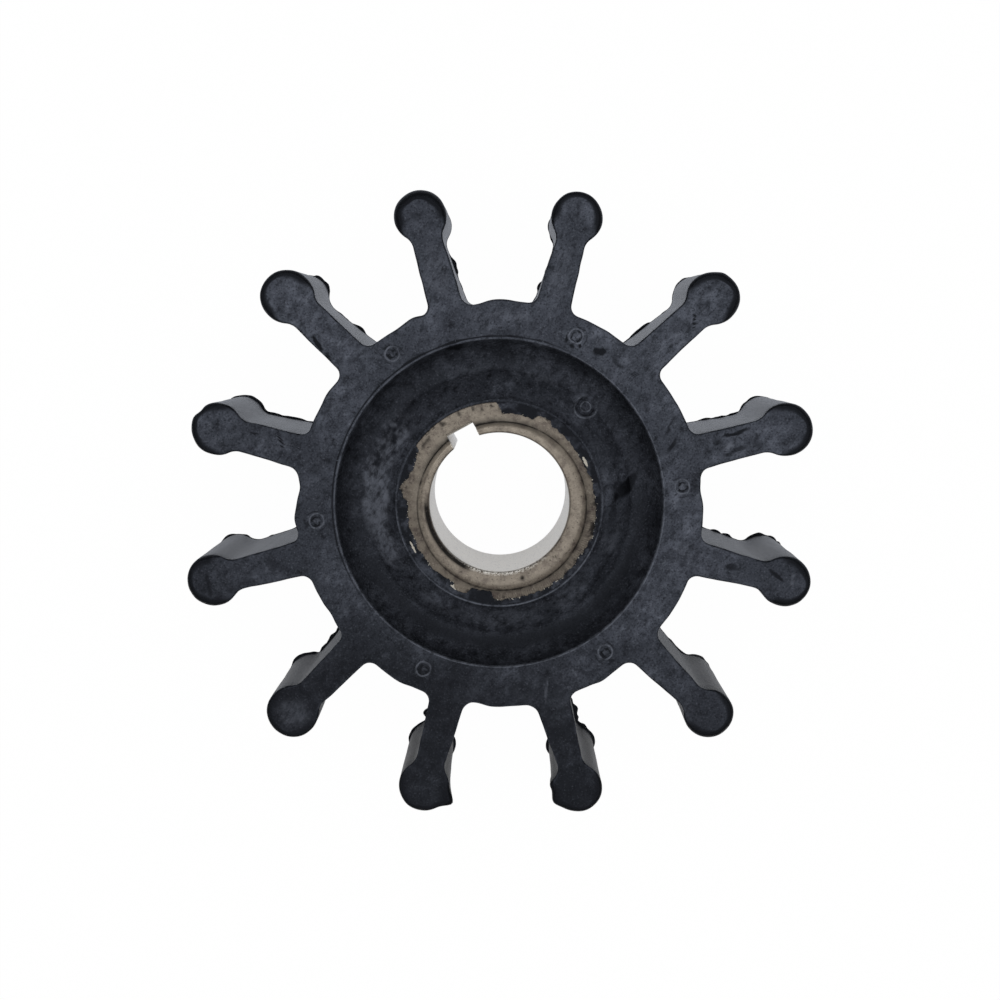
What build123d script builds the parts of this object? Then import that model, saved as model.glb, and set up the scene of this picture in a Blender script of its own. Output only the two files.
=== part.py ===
"""Flexible rubber impeller of a marine raw-water pump, with its bonded metal hub bush.

The impeller is two pieces. A rubber body is moulded in one shot: a round hub with a dish in each
face and a ring of straight vanes, each ending in a round bead that wipes the pump housing. A metal
bush is bonded into its middle. It has a plain bore with one keyway, countersunk at both ends.

Frame: millimetres, the shaft axis is Z, the back running face lies on Z = 0 and the front one faces
+Z. Angles run counterclockwise from +X, seen from the front.
"""

import os
from math import hypot, radians, tan

from build123d import *

# --- Running envelope -----------------------------------------------------------------------------
tip_diameter = 87.0  # across opposite beads, free and unbent
impeller_width = 30.0  # between the two running faces

# --- Vanes ----------------------------------------------------------------------------------------
vane_count = 12
first_vane_angle = 15.0
bead_diameter = 7.0
vane_root_thickness = 4.8  # where the sides would meet the hub
vane_neck_thickness = 3.9  # where the sides run into the bead
neck_blend_radius = 2.2  # hollow between the vane's side and its bead
root_fillet_radius = 1.4
running_edge_chamfer = 0.45  # front face only: the back one is the mould's parting plane, left sharp

# --- Rubber hub -----------------------------------------------------------------------------------
hub_diameter = 55.0
dish_diameter = 44.6  # both dishes; the ring outside them runs against the pump's cover
front_dish_depth = 3.4  # at the foot of the dish's wall
dish_sweep = 4.2  # how far in from the dish's edge its wall starts to curve up out of the floor
dish_sweep_dip = 0.4  # the floor keeps falling this much into the curve
dish_wall_lean = 0.9  # how far the curve's steepest run leans in from the dish's edge
back_wall_draft = 25.0  # of the back dish's wall, degrees off the shaft axis
lip_height = 0.25  # the rubber stands this far past the front end of the bush
lip_width = 0.5

# --- Metal bush -----------------------------------------------------------------------------------
bush_diameter = 27.5
bush_length = 24.1
bush_front_drop = 0.8  # from the front running face down to the bush's end face
bore_diameter = 19.05  # 3/4 in shaft
countersink_diameter = 22.9
countersink_angle = 90.0  # included
key_width = 3.97  # 5/32 in key
keyway_depth = 2.3  # beyond the bore's wall
keyway_angle = 118.5

# --- Sizes that follow ----------------------------------------------------------------------------
bead_circle_radius = (tip_diameter - bead_diameter) / 2
neck_radius = bead_circle_radius - bead_diameter / 2
foot_radius = hub_diameter / 2 - vane_root_thickness / 2  # each vane starts inside the hub
bush_front_z = impeller_width - bush_front_drop
bush_back_z = bush_front_z - bush_length
countersink_depth = (countersink_diameter - bore_diameter) / 2 / tan(radians(countersink_angle / 2))


def points_at_radius(points, radius):
    """The points of a sketch that lie on a circle of this radius about the shaft axis."""
    tolerance = 1e-4
    return points.filter_by(lambda point: abs(hypot(point.X, point.Y) - radius) < tolerance)


# --- One vane, along +X: tapered sides blended into a round bead ------------------------------------
side_slope = (vane_root_thickness - vane_neck_thickness) / 2 / (neck_radius - hub_diameter / 2)


def vane_half_thickness(radius):
    """Half of the vane's thickness at a distance from the shaft axis, from its straight taper."""
    return vane_neck_thickness / 2 + (neck_radius - radius) * side_slope


with BuildSketch() as vane_outline:
    with BuildLine():
        foot_half = vane_half_thickness(foot_radius)
        bead_half = vane_half_thickness(bead_circle_radius)
        Polyline(
            (foot_radius, -foot_half),
            (bead_circle_radius, -bead_half),
            (bead_circle_radius, bead_half),
            (foot_radius, foot_half),
            close=True,
        )
    make_face()
    with Locations((bead_circle_radius, 0)):
        Circle(bead_diameter / 2)
    neck_corners = vane_outline.vertices().sort_by(Axis.X)[2:4]
    fillet(neck_corners, neck_blend_radius)

# --- Rubber body ----------------------------------------------------------------------------------
with BuildPart() as rubber_body:
    with BuildSketch() as star_outline:
        Circle(hub_diameter / 2)
        with PolarLocations(0, vane_count, start_angle=first_vane_angle):
            add(vane_outline.sketch)
        fillet(points_at_radius(star_outline.vertices(), hub_diameter / 2), root_fillet_radius)
    extrude(amount=impeller_width)
    front_face = rubber_body.faces().sort_by(Axis.Z)[-1]
    chamfer(front_face.edges(), running_edge_chamfer)

    # The dishes, each open down to the end of the bush. In front a low rubber lip rings the bush, and
    # the floor falls away from it and sweeps up into the wall. The back dish has a flat floor.
    lip_z = bush_front_z + lip_height
    front_floor_z = impeller_width - front_dish_depth
    sweep_radius = dish_diameter / 2 - dish_sweep
    with BuildSketch(Plane.XZ):
        with BuildLine():
            Polyline(
                (dish_diameter / 2, impeller_width),
                (0, impeller_width),
                (0, bush_front_z),
                (bush_diameter / 2, bush_front_z),
                (bush_diameter / 2, lip_z),
                (bush_diameter / 2 + lip_width, lip_z),
                (sweep_radius, front_floor_z),
            )
            Bezier(
                (sweep_radius, front_floor_z),
                (dish_diameter / 2 - dish_wall_lean, front_floor_z - dish_sweep_dip),
                (dish_diameter / 2, impeller_width),
            )
        make_face()
    revolve(axis=Axis.Z, mode=Mode.SUBTRACT)

    back_wall_run = bush_back_z * tan(radians(back_wall_draft))
    with BuildSketch(Plane.XZ):
        with BuildLine():
            Polyline(
                (0, 0),
                (0, bush_back_z),
                (dish_diameter / 2 - back_wall_run, bush_back_z),
                (dish_diameter / 2, 0),
                close=True,
            )
        make_face()
    revolve(axis=Axis.Z, mode=Mode.SUBTRACT)

    # The seat, moulded round the bush.
    with BuildSketch(Plane.XY.offset(bush_back_z)):
        Circle(bush_diameter / 2)
    extrude(amount=bush_length, mode=Mode.SUBTRACT)

# --- Hub bush: bored, countersunk at both ends and keyed --------------------------------------------
with BuildPart() as hub_bush:
    with BuildSketch(Plane.XY.offset(bush_back_z)):
        Circle(bush_diameter / 2)
    extrude(amount=bush_length)
    with BuildSketch(Plane.XZ):
        with BuildLine():
            Polyline(
                (0, bush_back_z),
                (countersink_diameter / 2, bush_back_z),
                (bore_diameter / 2, bush_back_z + countersink_depth),
                (bore_diameter / 2, bush_front_z - countersink_depth),
                (countersink_diameter / 2, bush_front_z),
                (0, bush_front_z),
                close=True,
            )
        make_face()
    revolve(axis=Axis.Z, mode=Mode.SUBTRACT)
    keyway_floor = bore_diameter / 2 + keyway_depth
    with BuildSketch(Plane.XY.offset(bush_back_z)):
        with PolarLocations(keyway_floor / 2, 1, start_angle=keyway_angle):
            Rectangle(keyway_floor, key_width)
    extrude(amount=bush_length, mode=Mode.SUBTRACT)

rubber_body.part.label = "rubber_body"
hub_bush.part.label = "hub_bush"
os.makedirs("parts", exist_ok=True)
export_step(rubber_body.part, "parts/rubber_body.step")
export_step(hub_bush.part, "parts/hub_bush.step")
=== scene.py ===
"""Looks of a flexible rubber pump impeller: moulded rubber body, torn flash and turned metal bush.

Frame: the part's own. Shapes are worked out in millimetres, the shaft's axis is Z, the back running
face lies on Z = 0 and the front one faces +Z. Clock angles run clockwise from +Y, seen from the front.
"""

import itertools
import logging
import math
from dataclasses import dataclass, field
from enum import Enum
from functools import partial

import bmesh
import bpy
import numpy as np
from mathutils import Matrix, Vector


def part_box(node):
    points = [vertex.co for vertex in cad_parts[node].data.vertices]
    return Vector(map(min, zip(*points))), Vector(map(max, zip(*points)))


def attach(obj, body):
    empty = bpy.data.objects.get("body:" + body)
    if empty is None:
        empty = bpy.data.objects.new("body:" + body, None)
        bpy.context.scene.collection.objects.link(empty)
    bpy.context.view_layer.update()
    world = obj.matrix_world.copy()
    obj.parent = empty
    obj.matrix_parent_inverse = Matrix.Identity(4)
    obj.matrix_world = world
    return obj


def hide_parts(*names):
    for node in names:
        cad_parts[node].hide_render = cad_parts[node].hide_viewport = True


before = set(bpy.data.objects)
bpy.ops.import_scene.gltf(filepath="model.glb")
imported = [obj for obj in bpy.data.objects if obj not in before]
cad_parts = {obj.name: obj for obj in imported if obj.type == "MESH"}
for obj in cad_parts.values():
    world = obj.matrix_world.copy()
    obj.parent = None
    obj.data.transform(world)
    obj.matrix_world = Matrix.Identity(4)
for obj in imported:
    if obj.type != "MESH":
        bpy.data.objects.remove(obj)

log = logging.getLogger("impeller")

MM = 0.001
FULL_TURN = 2.0 * math.pi

# Place, size and other numbers of one small feature, in the order that the comment beside it gives
Row = tuple[float, ...]
# Where a smooth step starts and ends, and two of them: where something comes in and where it goes out
Span = tuple[float, float]
Band = tuple[Span, Span]
# A node's input: a number, a vector or colour, or the socket that feeds it
Signal = float | tuple | bpy.types.NodeSocket


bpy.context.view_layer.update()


class Slot(Enum):
    """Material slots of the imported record."""

    RUBBER = "moulded_rubber"
    METAL = "bush_metal"


# --------------------------------------------------------------------------------------------------
# Sizes
# --------------------------------------------------------------------------------------------------


def node_span(node: str) -> tuple[float, float]:
    """Lowest and highest Z of a CAD node, in millimetres."""
    low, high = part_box(node)
    return low.z / MM, high.z / MM


@dataclass(frozen=True)
class ImpellerSizes:
    """The impeller's sizes in millimetres, as its construction has them."""

    width: float = node_span("rubber_body")[1]
    tip_radius: float = 43.5
    bead_radius: float = 3.5
    neck_half: float = 1.98
    root_half: float = 2.38
    back_taper: float = 0.20
    neck_blend: float = 2.2
    root_fillet: float = 1.4
    hub_radius: float = 27.5
    dish_radius: float = 22.3
    bush_radius: float = 13.75
    bush_back: float = node_span("hub_bush")[0]
    bush_front: float = node_span("hub_bush")[1]
    bore_radius: float = 9.525
    key_half: float = 1.985
    key_floor: float = 11.825
    key_angle: float = math.radians(118.5)
    vane_count: int = 12


# --------------------------------------------------------------------------------------------------
# Numpy helpers
# --------------------------------------------------------------------------------------------------


# Large odd factors that scatter a lattice corner's whole numbers, and what keeps those positive
HASH_FACTORS = tuple(np.uint64(n) for n in (73856093, 19349663, 83492791, 2654435761, 2246822519))
KEY_OFFSET = 4096


def lattice_noise(points: np.ndarray, cell: float, seed: int) -> np.ndarray:
    """Smooth value noise from -1 to 1.

    Formula: whole numbers of cells give lattice corners, each corner has a hashed value, and the
    eight values round a point are blended with the smoothstep of its place inside the cell.

    Args:
        points: (..., 3) places in millimetres.
        cell: lattice spacing in millimetres.
        seed: picks another pattern.

    Returns:
        One value for each point.
    """
    scaled = points / cell
    base = np.floor(scaled).astype(np.int64)
    share = scaled - base
    share = share * share * (3.0 - 2.0 * share)
    total = np.zeros(points.shape[:-1])
    for corner in itertools.product((0, 1), repeat=3):
        key = (base + np.array(corner) + KEY_OFFSET).astype(np.uint64)
        code = key[..., 0] * HASH_FACTORS[0] ^ key[..., 1] * HASH_FACTORS[1]
        code = (code ^ key[..., 2] * HASH_FACTORS[2] ^ np.uint64(seed * 7919 + 17)) * HASH_FACTORS[3]
        code = (code ^ (code >> np.uint64(15))) * HASH_FACTORS[4]
        value = ((code >> np.uint64(20)) & np.uint64(0xFFFF)).astype(float) / 32767.5 - 1.0
        total += value * np.prod(np.where(np.array(corner) == 1, share, 1.0 - share), axis=-1)
    return total


def layered_noise(points: np.ndarray, cell: float, seed: int, layers: int = 3) -> np.ndarray:
    """Sum of lattice noises, each at half the cell and half the height of the one before."""
    return sum(lattice_noise(points, cell / 2**n, seed + n) / 2**n for n in range(layers))


def smooth_step(value: np.ndarray, low: float, high: float) -> np.ndarray:
    """Rises from 0 at low to 1 at high with level ends: 3 t^2 - 2 t^3 of the share t between them."""
    share = np.clip((value - low) / (high - low), 0.0, 1.0)
    return share * share * (3.0 - 2.0 * share)


def window(value: np.ndarray, opens: Span, closes: Span) -> np.ndarray:
    """Rises from 0 to 1 by a smooth step over the first range and falls back over the second."""
    return smooth_step(value, *opens) * (1.0 - smooth_step(value, *closes))


def bell(distance: np.ndarray, width: float) -> np.ndarray:
    """Bell curve of a distance, exp(-(distance / width)^2): 1 at nought and near nothing by two widths."""
    return np.exp(-((distance / width) ** 2))


def plan_distance(points: np.ndarray, x: float = 0.0, y: float = 0.0) -> np.ndarray:
    """Distance of each point from (x, y) in plan: from the shaft's axis unless another is given."""
    return np.hypot(points[..., 0] - x, points[..., 1] - y)


def clock_degrees(points: np.ndarray) -> np.ndarray:
    """Angle of each point, clockwise from +Y, from 0 to 360 degrees."""
    return np.degrees(np.arctan2(points[..., 0], points[..., 1])) % 360.0


def facing(points: np.ndarray, clock: float, low: float, high: float) -> np.ndarray:
    """How far points lie towards a clock angle: a smooth step of the cosine of the angle between."""
    return smooth_step(np.cos(np.radians(clock_degrees(points) - clock)), low, high)


def arc(centre: np.ndarray, start: np.ndarray, end: np.ndarray, count: int) -> np.ndarray:
    """Points on the shorter arc about a centre, from one point to another.

    Formula: centre + radius * (cos, sin) of angles evenly spread between the two ends' angles.

    Args:
        centre: the arc's centre.
        start: its first point.
        end: its last point.
        count: number of points.

    Returns:
        (count, 2) points.
    """
    first = math.atan2(*(start - centre)[::-1])
    sweep = math.atan2(*(end - centre)[::-1]) - first
    sweep = (sweep + math.pi) % FULL_TURN - math.pi
    angles = first + sweep * np.linspace(0.0, 1.0, count)
    radius = float(np.hypot(*(start - centre)))
    return centre + radius * np.stack([np.cos(angles), np.sin(angles)], axis=-1)


def bezier(start: np.ndarray, bend: np.ndarray, end: np.ndarray, count: int) -> np.ndarray:
    """Points along a quadratic Bezier curve, after its start.

    Formula: (1 - t)^2 start + 2 t (1 - t) bend + t^2 end, with t in even steps.

    Args:
        start: the curve's first point.
        bend: the point that pulls it.
        end: its last point.
        count: number of points.

    Returns:
        (count, 2) points, the last of them the end.
    """
    t = np.linspace(0.0, 1.0, count + 1)[1:, None]
    return (1 - t) ** 2 * start + 2 * t * (1 - t) * bend + t**2 * end


def turned(points: np.ndarray, angle: float) -> np.ndarray:
    """Turns points about the shaft's axis.

    Formula: x cos a - y sin a and x sin a + y cos a.

    Args:
        points: (..., 2) points.
        angle: counterclockwise, in radians.

    Returns:
        The turned points.
    """
    cosine, sine = math.cos(angle), math.sin(angle)
    x, y = points[..., 0], points[..., 1]
    return np.stack([x * cosine - y * sine, x * sine + y * cosine], axis=-1)


def polar(radius: np.ndarray, angle: np.ndarray, height: np.ndarray) -> np.ndarray:
    """(..., 3) points from cylindrical coordinates: x = r cos a, y = r sin a, z = height."""
    radius, angle, height = np.broadcast_arrays(radius, angle, height)
    return np.stack([radius * np.cos(angle), radius * np.sin(angle), height], axis=-1)


@dataclass
class Skin:
    """Grids of points in millimetres that are welded into one closed mesh."""

    name: str
    weld: float = 0.002
    points: list[np.ndarray] = field(default_factory=list)
    faces: list[np.ndarray] = field(default_factory=list)
    marks: dict[str, list[np.ndarray]] = field(default_factory=dict)
    count: int = 0

    def add(self, grid: np.ndarray, wrap: bool = False, **marks: np.ndarray | float) -> None:
        """Adds a grid of quads.

        Args:
            grid: (rows, columns, 3) points.
            wrap: whether the last row joins the first.
            marks: named values per point, kept as float attributes of the mesh.
        """
        rows, columns = grid.shape[:2]
        index = self.count + np.arange(rows * columns).reshape(rows, columns)
        after = np.roll(index, -1, axis=0) if wrap else index[1:]
        here = index if wrap else index[:-1]
        quads = np.stack([here[:, :-1], after[:, :-1], after[:, 1:], here[:, 1:]], axis=-1)
        self.faces.append(quads.reshape(-1, 4))
        self.points.append(grid.reshape(-1, 3))
        for name in sorted(set(self.marks) | set(marks)):
            kept = self.marks.setdefault(name, [np.zeros(self.count)] if self.count else [])
            kept.append(np.broadcast_to(marks.get(name, 0.0), (rows, columns)).ravel())
        self.count += rows * columns

    def build(self, sharp: float | None = None) -> bpy.types.Object:
        """Welds the grids, points the faces outwards and turns millimetres to metres.

        Args:
            sharp: angle in degrees past which an edge is shaded as sharp, or None for none.

        Returns:
            The object, linked to the scene.
        """
        mesh = bpy.data.meshes.new(self.name)
        points = np.concatenate(self.points) * MM
        mesh.from_pydata(points.tolist(), [], np.concatenate(self.faces).tolist())
        for name, parts in self.marks.items():
            layer = mesh.attributes.new(name, "FLOAT", "POINT")
            layer.data.foreach_set("value", np.concatenate(parts).astype(np.float32))
        work = bmesh.new()
        work.from_mesh(mesh)
        bmesh.ops.remove_doubles(work, verts=work.verts, dist=self.weld * MM)
        bmesh.ops.dissolve_degenerate(work, edges=work.edges, dist=self.weld * MM / 4)
        bmesh.ops.recalc_face_normals(work, faces=work.faces)
        work.to_mesh(mesh)
        work.free()
        mesh.polygons.foreach_set("use_smooth", np.ones(len(mesh.polygons), bool))
        if sharp is not None:
            mesh.set_sharp_from_angle(angle=math.radians(sharp))
        piece = bpy.data.objects.new(self.name, mesh)
        bpy.context.scene.collection.objects.link(piece)
        return piece


# --------------------------------------------------------------------------------------------------
# Materials
# --------------------------------------------------------------------------------------------------


def colour(code: str) -> tuple[float, float, float, float]:
    """Turns an sRGB colour linear.

    Formula: c / 12.92 for the darkest channels and ((c + 0.055) / 1.055)^2.4 for the others.

    Args:
        code: a hex code such as "#1c1d20".

    Returns:
        Red, green, blue and an alpha of 1.
    """
    channels = [int(code[place : place + 2], 16) / 255.0 for place in (1, 3, 5)]
    linear = [c / 12.92 if c <= 0.04045 else ((c + 0.055) / 1.055) ** 2.4 for c in channels]
    return (*linear, 1.0)


def add_node(
    tree: bpy.types.NodeTree, kind: str, inputs: dict | tuple = (), out: int | str = 0, **settings: object
) -> bpy.types.NodeSocket | None:
    """Adds a node with its settings and links.

    Args:
        tree: the node tree.
        kind: the node's type name, less its first word ShaderNode.
        inputs: the first inputs in order, or a dict by socket name or number. A socket is linked,
            and anything else is set as the input's value.
        out: name or number of the output that is wanted.
        settings: the node's own properties.

    Returns:
        That output, or None where the node has none.
    """
    node = tree.nodes.new("ShaderNode" + kind)
    for name, value in settings.items():
        setattr(node, name, value)
    for key, value in (inputs if isinstance(inputs, dict) else dict(enumerate(inputs))).items():
        if isinstance(value, bpy.types.NodeSocket):
            tree.links.new(value, node.inputs[key])
        else:
            node.inputs[key].default_value = value
    return node.outputs[out] if node.outputs else None


def product(tree: bpy.types.NodeTree, *factors: Signal) -> Signal:
    """Multiplies signals, each as it is or through a smooth step.

    Formula: s1 s2 s3 ..., where a row (signal, low, high, start, end) stands for the smooth step of
    the signal from start at low to end at high. Start and end are 0 and 1 where the row stops short.

    Args:
        tree: the node tree.
        factors: sockets, numbers and rows.

    Returns:
        The product's socket.
    """
    total = None
    for factor in factors:
        if isinstance(factor, tuple):
            factor = add_node(tree, "MapRange", factor, interpolation_type="SMOOTHSTEP")
        total = factor if total is None else add_node(tree, "Math", (total, factor), operation="MULTIPLY")
    return total


def paint(tree: bpy.types.NodeTree, base: Signal, *coats: tuple) -> Signal:
    """Lays coats of colour over one another.

    Formula: each coat shows by the product of its factors, and what lies below it by the rest.

    Args:
        tree: the node tree.
        base: the lowest colour.
        coats: rows of an sRGB hex code and the factors of the coat's share.

    Returns:
        The socket of the colour on top.
    """
    for code, *factors in coats:
        layers = {0: product(tree, *factors), 6: base, 7: colour(code)}
        base = add_node(tree, "Mix", layers, out=2, data_type="RGBA")
    return base


def new_material(name: str) -> tuple[bpy.types.Material, bpy.types.NodeTree]:
    """Makes an empty node material.

    Args:
        name: the material's name.

    Returns:
        The material and its node tree.
    """
    material = bpy.data.materials.new(name)
    material.use_nodes = True
    material.node_tree.nodes.clear()
    return material, material.node_tree


def millimetres(tree: bpy.types.NodeTree) -> bpy.types.NodeSocket:
    """Object coordinates in millimetres."""
    place = add_node(tree, "TexCoord", out="Object")
    return add_node(tree, "VectorMath", {0: place, "Scale": 1.0 / MM}, operation="SCALE")


@dataclass(frozen=True)
class MouldedRubber:
    """Black nitrile rubber, compression moulded.

    The eye sees it as nearly black and half matt, with little gloss. Where a face has been rubbed and
    aged, a chalky grey bloom lies on it in patches, strokes and specks. Its marks also bring painted
    sheen, painted highlights and painted shade.
    """

    name: str = "nitrile_rubber_moulded"
    wall: str = "#121419"
    bare: str = "#0d0e11"
    face: str = "#32353c"
    bloom: str = "#555963"
    # Pale grey for chalk and painted highlights
    chalk_and_highlight: str = "#6a6e78"
    # Near black for smears and painted shade
    smear_and_shade: str = "#030304"
    bare_metal: str = "#a8a398"
    sheen_hue: str = "#dfe9ff"
    wall_roughness: float = 0.36
    face_roughness: float = 0.5
    specular: float = 0.13
    # Bloom gathers in patches as wide as a vane, which break up into clouds
    patch_mm: float = 5.5
    cloud_mm: float = 1.4
    # The real grit of some 0.05 mm is too fine to show in a render, so it is drawn five times as coarse
    grit_mm: float = 0.26
    # Flow lines down the walls, about 1 mm apart, and how little they change along Z
    streak_mm: float = 1.1
    streak_draw: float = 0.06
    # Strokes of the rub, their spacing, slant and stretch
    stroke_mm: float = 0.75
    rub_turn: float = math.radians(-37.0)
    rub_stretch: float = 2.6
    relief_mm: float = 0.18
    relief_strength: float = 0.7

    def build(self) -> bpy.types.Material:
        """Makes the material; it reads the mesh marks face, dull, edge, stain and flake.

        Formula: noises of five sizes are the signals, and every coat's share is a product of smooth
        steps of them and of the marks.

        Returns:
            The material.
        """
        material, tree = new_material(self.name)
        node = partial(add_node, tree)
        place = millimetres(tree)
        marks = ("face", "dull", "edge", "stain", "flake")
        face, dull, edge, stain, flake = (node("Attribute", out="Fac", attribute_name=mark) for mark in marks)
        drawn = node("VectorMath", (place, (1.0, 1.0, self.streak_draw)), operation="MULTIPLY")
        slant = {"Rotation": (0.0, 0.0, self.rub_turn), "Scale": (1.0, self.rub_stretch, 1.0)}
        rubbed = node("Mapping", {"Vector": place} | slant, vector_type="TEXTURE")
        patches, clouds, grit, streaks, strokes = (
            node("TexNoise", {"Vector": at, "Scale": 1.0 / size, "Detail": detail, "Roughness": rough})
            for at, size, detail, rough in (
                (place, self.patch_mm, 5.0, 0.6),
                (place, self.cloud_mm, 6.0, 0.7),
                (place, self.grit_mm, 3.0, 0.6),
                (drawn, self.streak_mm, 3.0, 0.6),
                (rubbed, self.stroke_mm, 5.0, 0.65),
            )
        )
        # Bloom and the face's colour follow the mark of bloom and painted sheen, lighter towards the top
        bloomed = product(tree, face, node("Math", (dull, 0.8, 0.2), operation="MULTIPLY_ADD"))
        speckled = product(tree, face, node("Math", (dull, 0.55, 0.45), operation="MULTIPLY_ADD"))
        # Clouds make the stains' rims ragged, and grit those of the bare metal
        uneven = [node("Math", (noise, 0.5), operation="SUBTRACT") for noise in (clouds, grit)]
        ragged = node("Math", (uneven[0], 0.5, stain), operation="MULTIPLY_ADD")
        torn = node("Math", (uneven[1], 1.6, flake), operation="MULTIPLY_ADD")
        # The stain mark carries stains and painted shade above nought, and chalk and painted highlights below
        # it
        stained_and_shaded = product(tree, (ragged, 0.18, 0.75), (stain, 0.02, 0.25))
        # The beads' rounded edges are painted darker: partly clean black skin, partly painted shade of the
        # dark room they reflect
        dark = node("Math", (stained_and_shaded, product(tree, (edge, 0.15, 0.85))), operation="MAXIMUM")
        # Walls have flow lines. On faces come, in this order: bloom, dark and pale strokes of the rub, black
        # blots, dark and pale grit, wiped chalk with painted highlights, dark stains with painted shade and
        # the beads' darker edges, and metal
        wall = paint(tree, colour(self.wall), (self.bloom, (streaks, 0.35, 0.75, 0.0, 0.4)))
        rubbed_face = paint(tree, colour(self.bare), (self.face, dull))
        base = paint(
            tree,
            node("Mix", {0: face, 6: wall, 7: rubbed_face}, out=2, data_type="RGBA"),
            (self.bloom, (patches, 0.36, 0.70), (clouds, 0.34, 0.72), bloomed),
            (self.smear_and_shade, (strokes, 0.48, 0.32, 0.0, 0.55)),
            (self.chalk_and_highlight, (strokes, 0.54, 0.72), (patches, 0.45, 0.65, 0.05, 0.5), bloomed),
            (self.smear_and_shade, (clouds, 0.48, 0.30), (patches, 0.56, 0.40, 0.25, 1.0), 0.85),
            (self.smear_and_shade, (grit, 0.48, 0.32, 0.0, 0.65)),
            (self.chalk_and_highlight, (grit, 0.56, 0.74, 0.0, 0.36), speckled),
            (
                self.chalk_and_highlight,
                (stain, 0.0, -1.0),
                (clouds, 0.30, 0.62, 0.35, 1.0),
                (strokes, 0.36, 0.56, 0.35, 1.1),
                0.55,
            ),
            (self.smear_and_shade, dark),
            (self.bare_metal, (torn, 0.50, 0.62)),
        )
        relief = node("Math", (clouds, 0.7, product(tree, grit, 0.45)), operation="MULTIPLY_ADD")
        walls_only = product(tree, (face, 0.0, 1.0, 0.4, 0.0))
        relief = node("Math", (streaks, walls_only, relief), operation="MULTIPLY_ADD")
        bump = {"Height": relief, "Strength": self.relief_strength, "Distance": self.relief_mm * MM}
        surface = {"Base Color": base, "Normal": node("Bump", bump)}
        surface["Roughness"] = product(tree, (face, 0.0, 1.0, self.wall_roughness, self.face_roughness))
        surface |= {"Specular IOR Level": self.specular, "Specular Tint": colour(self.sheen_hue)}
        node("OutputMaterial", {"Surface": node("BsdfPrincipled", surface)})
        return material


@dataclass(frozen=True)
class TurnedBush:
    """Brass, turned on a lathe and then coated to bond to the rubber.

    The eye sees a matt champagne brown end face with stains and tiny pits, paler metal in the cut
    cone, and a bore that was left bare and so shines. Its marks add painted shade, a painted paler
    upper side and painted glints on the inner rim.
    """

    name: str = "brass_turned_coated"
    coat: str = "#776f65"
    stain: str = "#4f4642"
    cut: str = "#a59c90"
    pale: str = "#b3aa9d"
    bore: str = "#e2dbce"
    # Near-white colour of the painted glints on the inner rim
    glint_white: str = "#eceae4"
    # Dark colour for dirt, pits and painted shade
    grime: str = "#151312"
    coat_roughness: float = 0.55
    bore_roughness: float = 0.34
    coat_metal: float = 0.25
    bore_metal: float = 0.9
    specular: float = 0.15
    stain_mm: float = 1.3
    # The coat's real pits of some 0.05 mm are too fine to show in a render, so they are drawn coarser
    speck_mm: float = 0.26
    noise_rough: float = 0.65
    # One groove per turn of the lathe, at a coarse real feed of 0.16 mm
    turning_mm: float = 0.16
    # Chatter marks across the outer ring, 0.3 mm apart round a 12.5 mm radius
    hatch_count: float = 269.0
    relief_mm: float = 0.08
    relief_strength: float = 0.6

    def build(self) -> bpy.types.Material:
        """Makes the material; it reads the mesh marks bore, cove, grime, hatch and burr.

        Formula: grooves follow sin(2 pi r / feed) and chatter marks sin(n a) of the angle a, and each
        coat's share is a product of smooth steps of noise and marks.

        Returns:
            The material.
        """
        material, tree = new_material(self.name)
        node = partial(add_node, tree)
        place = millimetres(tree)
        marks = ("bore", "cove", "grime", "hatch", "burr")
        bore, cove, grime, hatch, burr = (node("Attribute", out="Fac", attribute_name=mark) for mark in marks)
        noise = {"Vector": place, "Roughness": self.noise_rough}
        stains, specks = (
            node("TexNoise", noise | {"Scale": 1.0 / size, "Detail": detail})
            for size, detail in ((self.stain_mm, 6.0), (self.speck_mm, 3.0))
        )
        x, y, _ = node("SeparateXYZ", (place,)).node.outputs
        angle = node("Math", (x, y), operation="ARCTAN2")
        radius = node("VectorMath", (node("CombineXYZ", (x, y)),), out="Value", operation="LENGTH")
        spokes, grooves = (
            node("Math", (product(tree, signal, rate),), operation="SINE")
            for signal, rate in ((angle, self.hatch_count), (radius, FULL_TURN / self.turning_mm))
        )
        cuts = product(tree, hatch, (spokes, -0.2, 0.8))
        dirt_and_shade = product(tree, grime, (specks, 0.2, 0.5, 0.8, 1.0))
        for other in (product(tree, (specks, 0.43, 0.29), 0.7), product(tree, cuts, 0.35)):
            dirt_and_shade = node("Math", (dirt_and_shade, other), operation="MAXIMUM")
        base = paint(
            tree,
            colour(self.coat),
            (self.stain, (stains, 0.42, 0.72)),
            # Paler cut metal in the cone, paler still on its upper side as painted highlight
            (self.cut, cove, (stains, 0.30, 0.66, 1.0, 0.5)),
            (self.bore, bore),
            (self.pale, (specks, 0.58, 0.70, 0.0, 0.4)),
            # Painted glints on the inner rim
            (self.glint_white, burr, (specks, 0.46, 0.54)),
            # Dirt, pits and painted shade
            (self.grime, dirt_and_shade),
        )
        relief = node("Math", (grooves, 0.3, specks), operation="MULTIPLY_ADD")
        relief = node("Math", (cuts, -0.8, relief), operation="MULTIPLY_ADD")
        bump = {"Height": relief, "Strength": self.relief_strength, "Distance": self.relief_mm * MM}
        surface = {"Base Color": base, "Normal": node("Bump", bump), "Specular IOR Level": self.specular}
        surface["Roughness"] = product(tree, (bore, 0.0, 1.0, self.coat_roughness, self.bore_roughness))
        surface["Metallic"] = product(tree, (bore, 0.0, 1.0, self.coat_metal, self.bore_metal))
        node("OutputMaterial", {"Surface": node("BsdfPrincipled", surface)})
        return material


# --------------------------------------------------------------------------------------------------
# Wear and marks
# --------------------------------------------------------------------------------------------------


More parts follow.
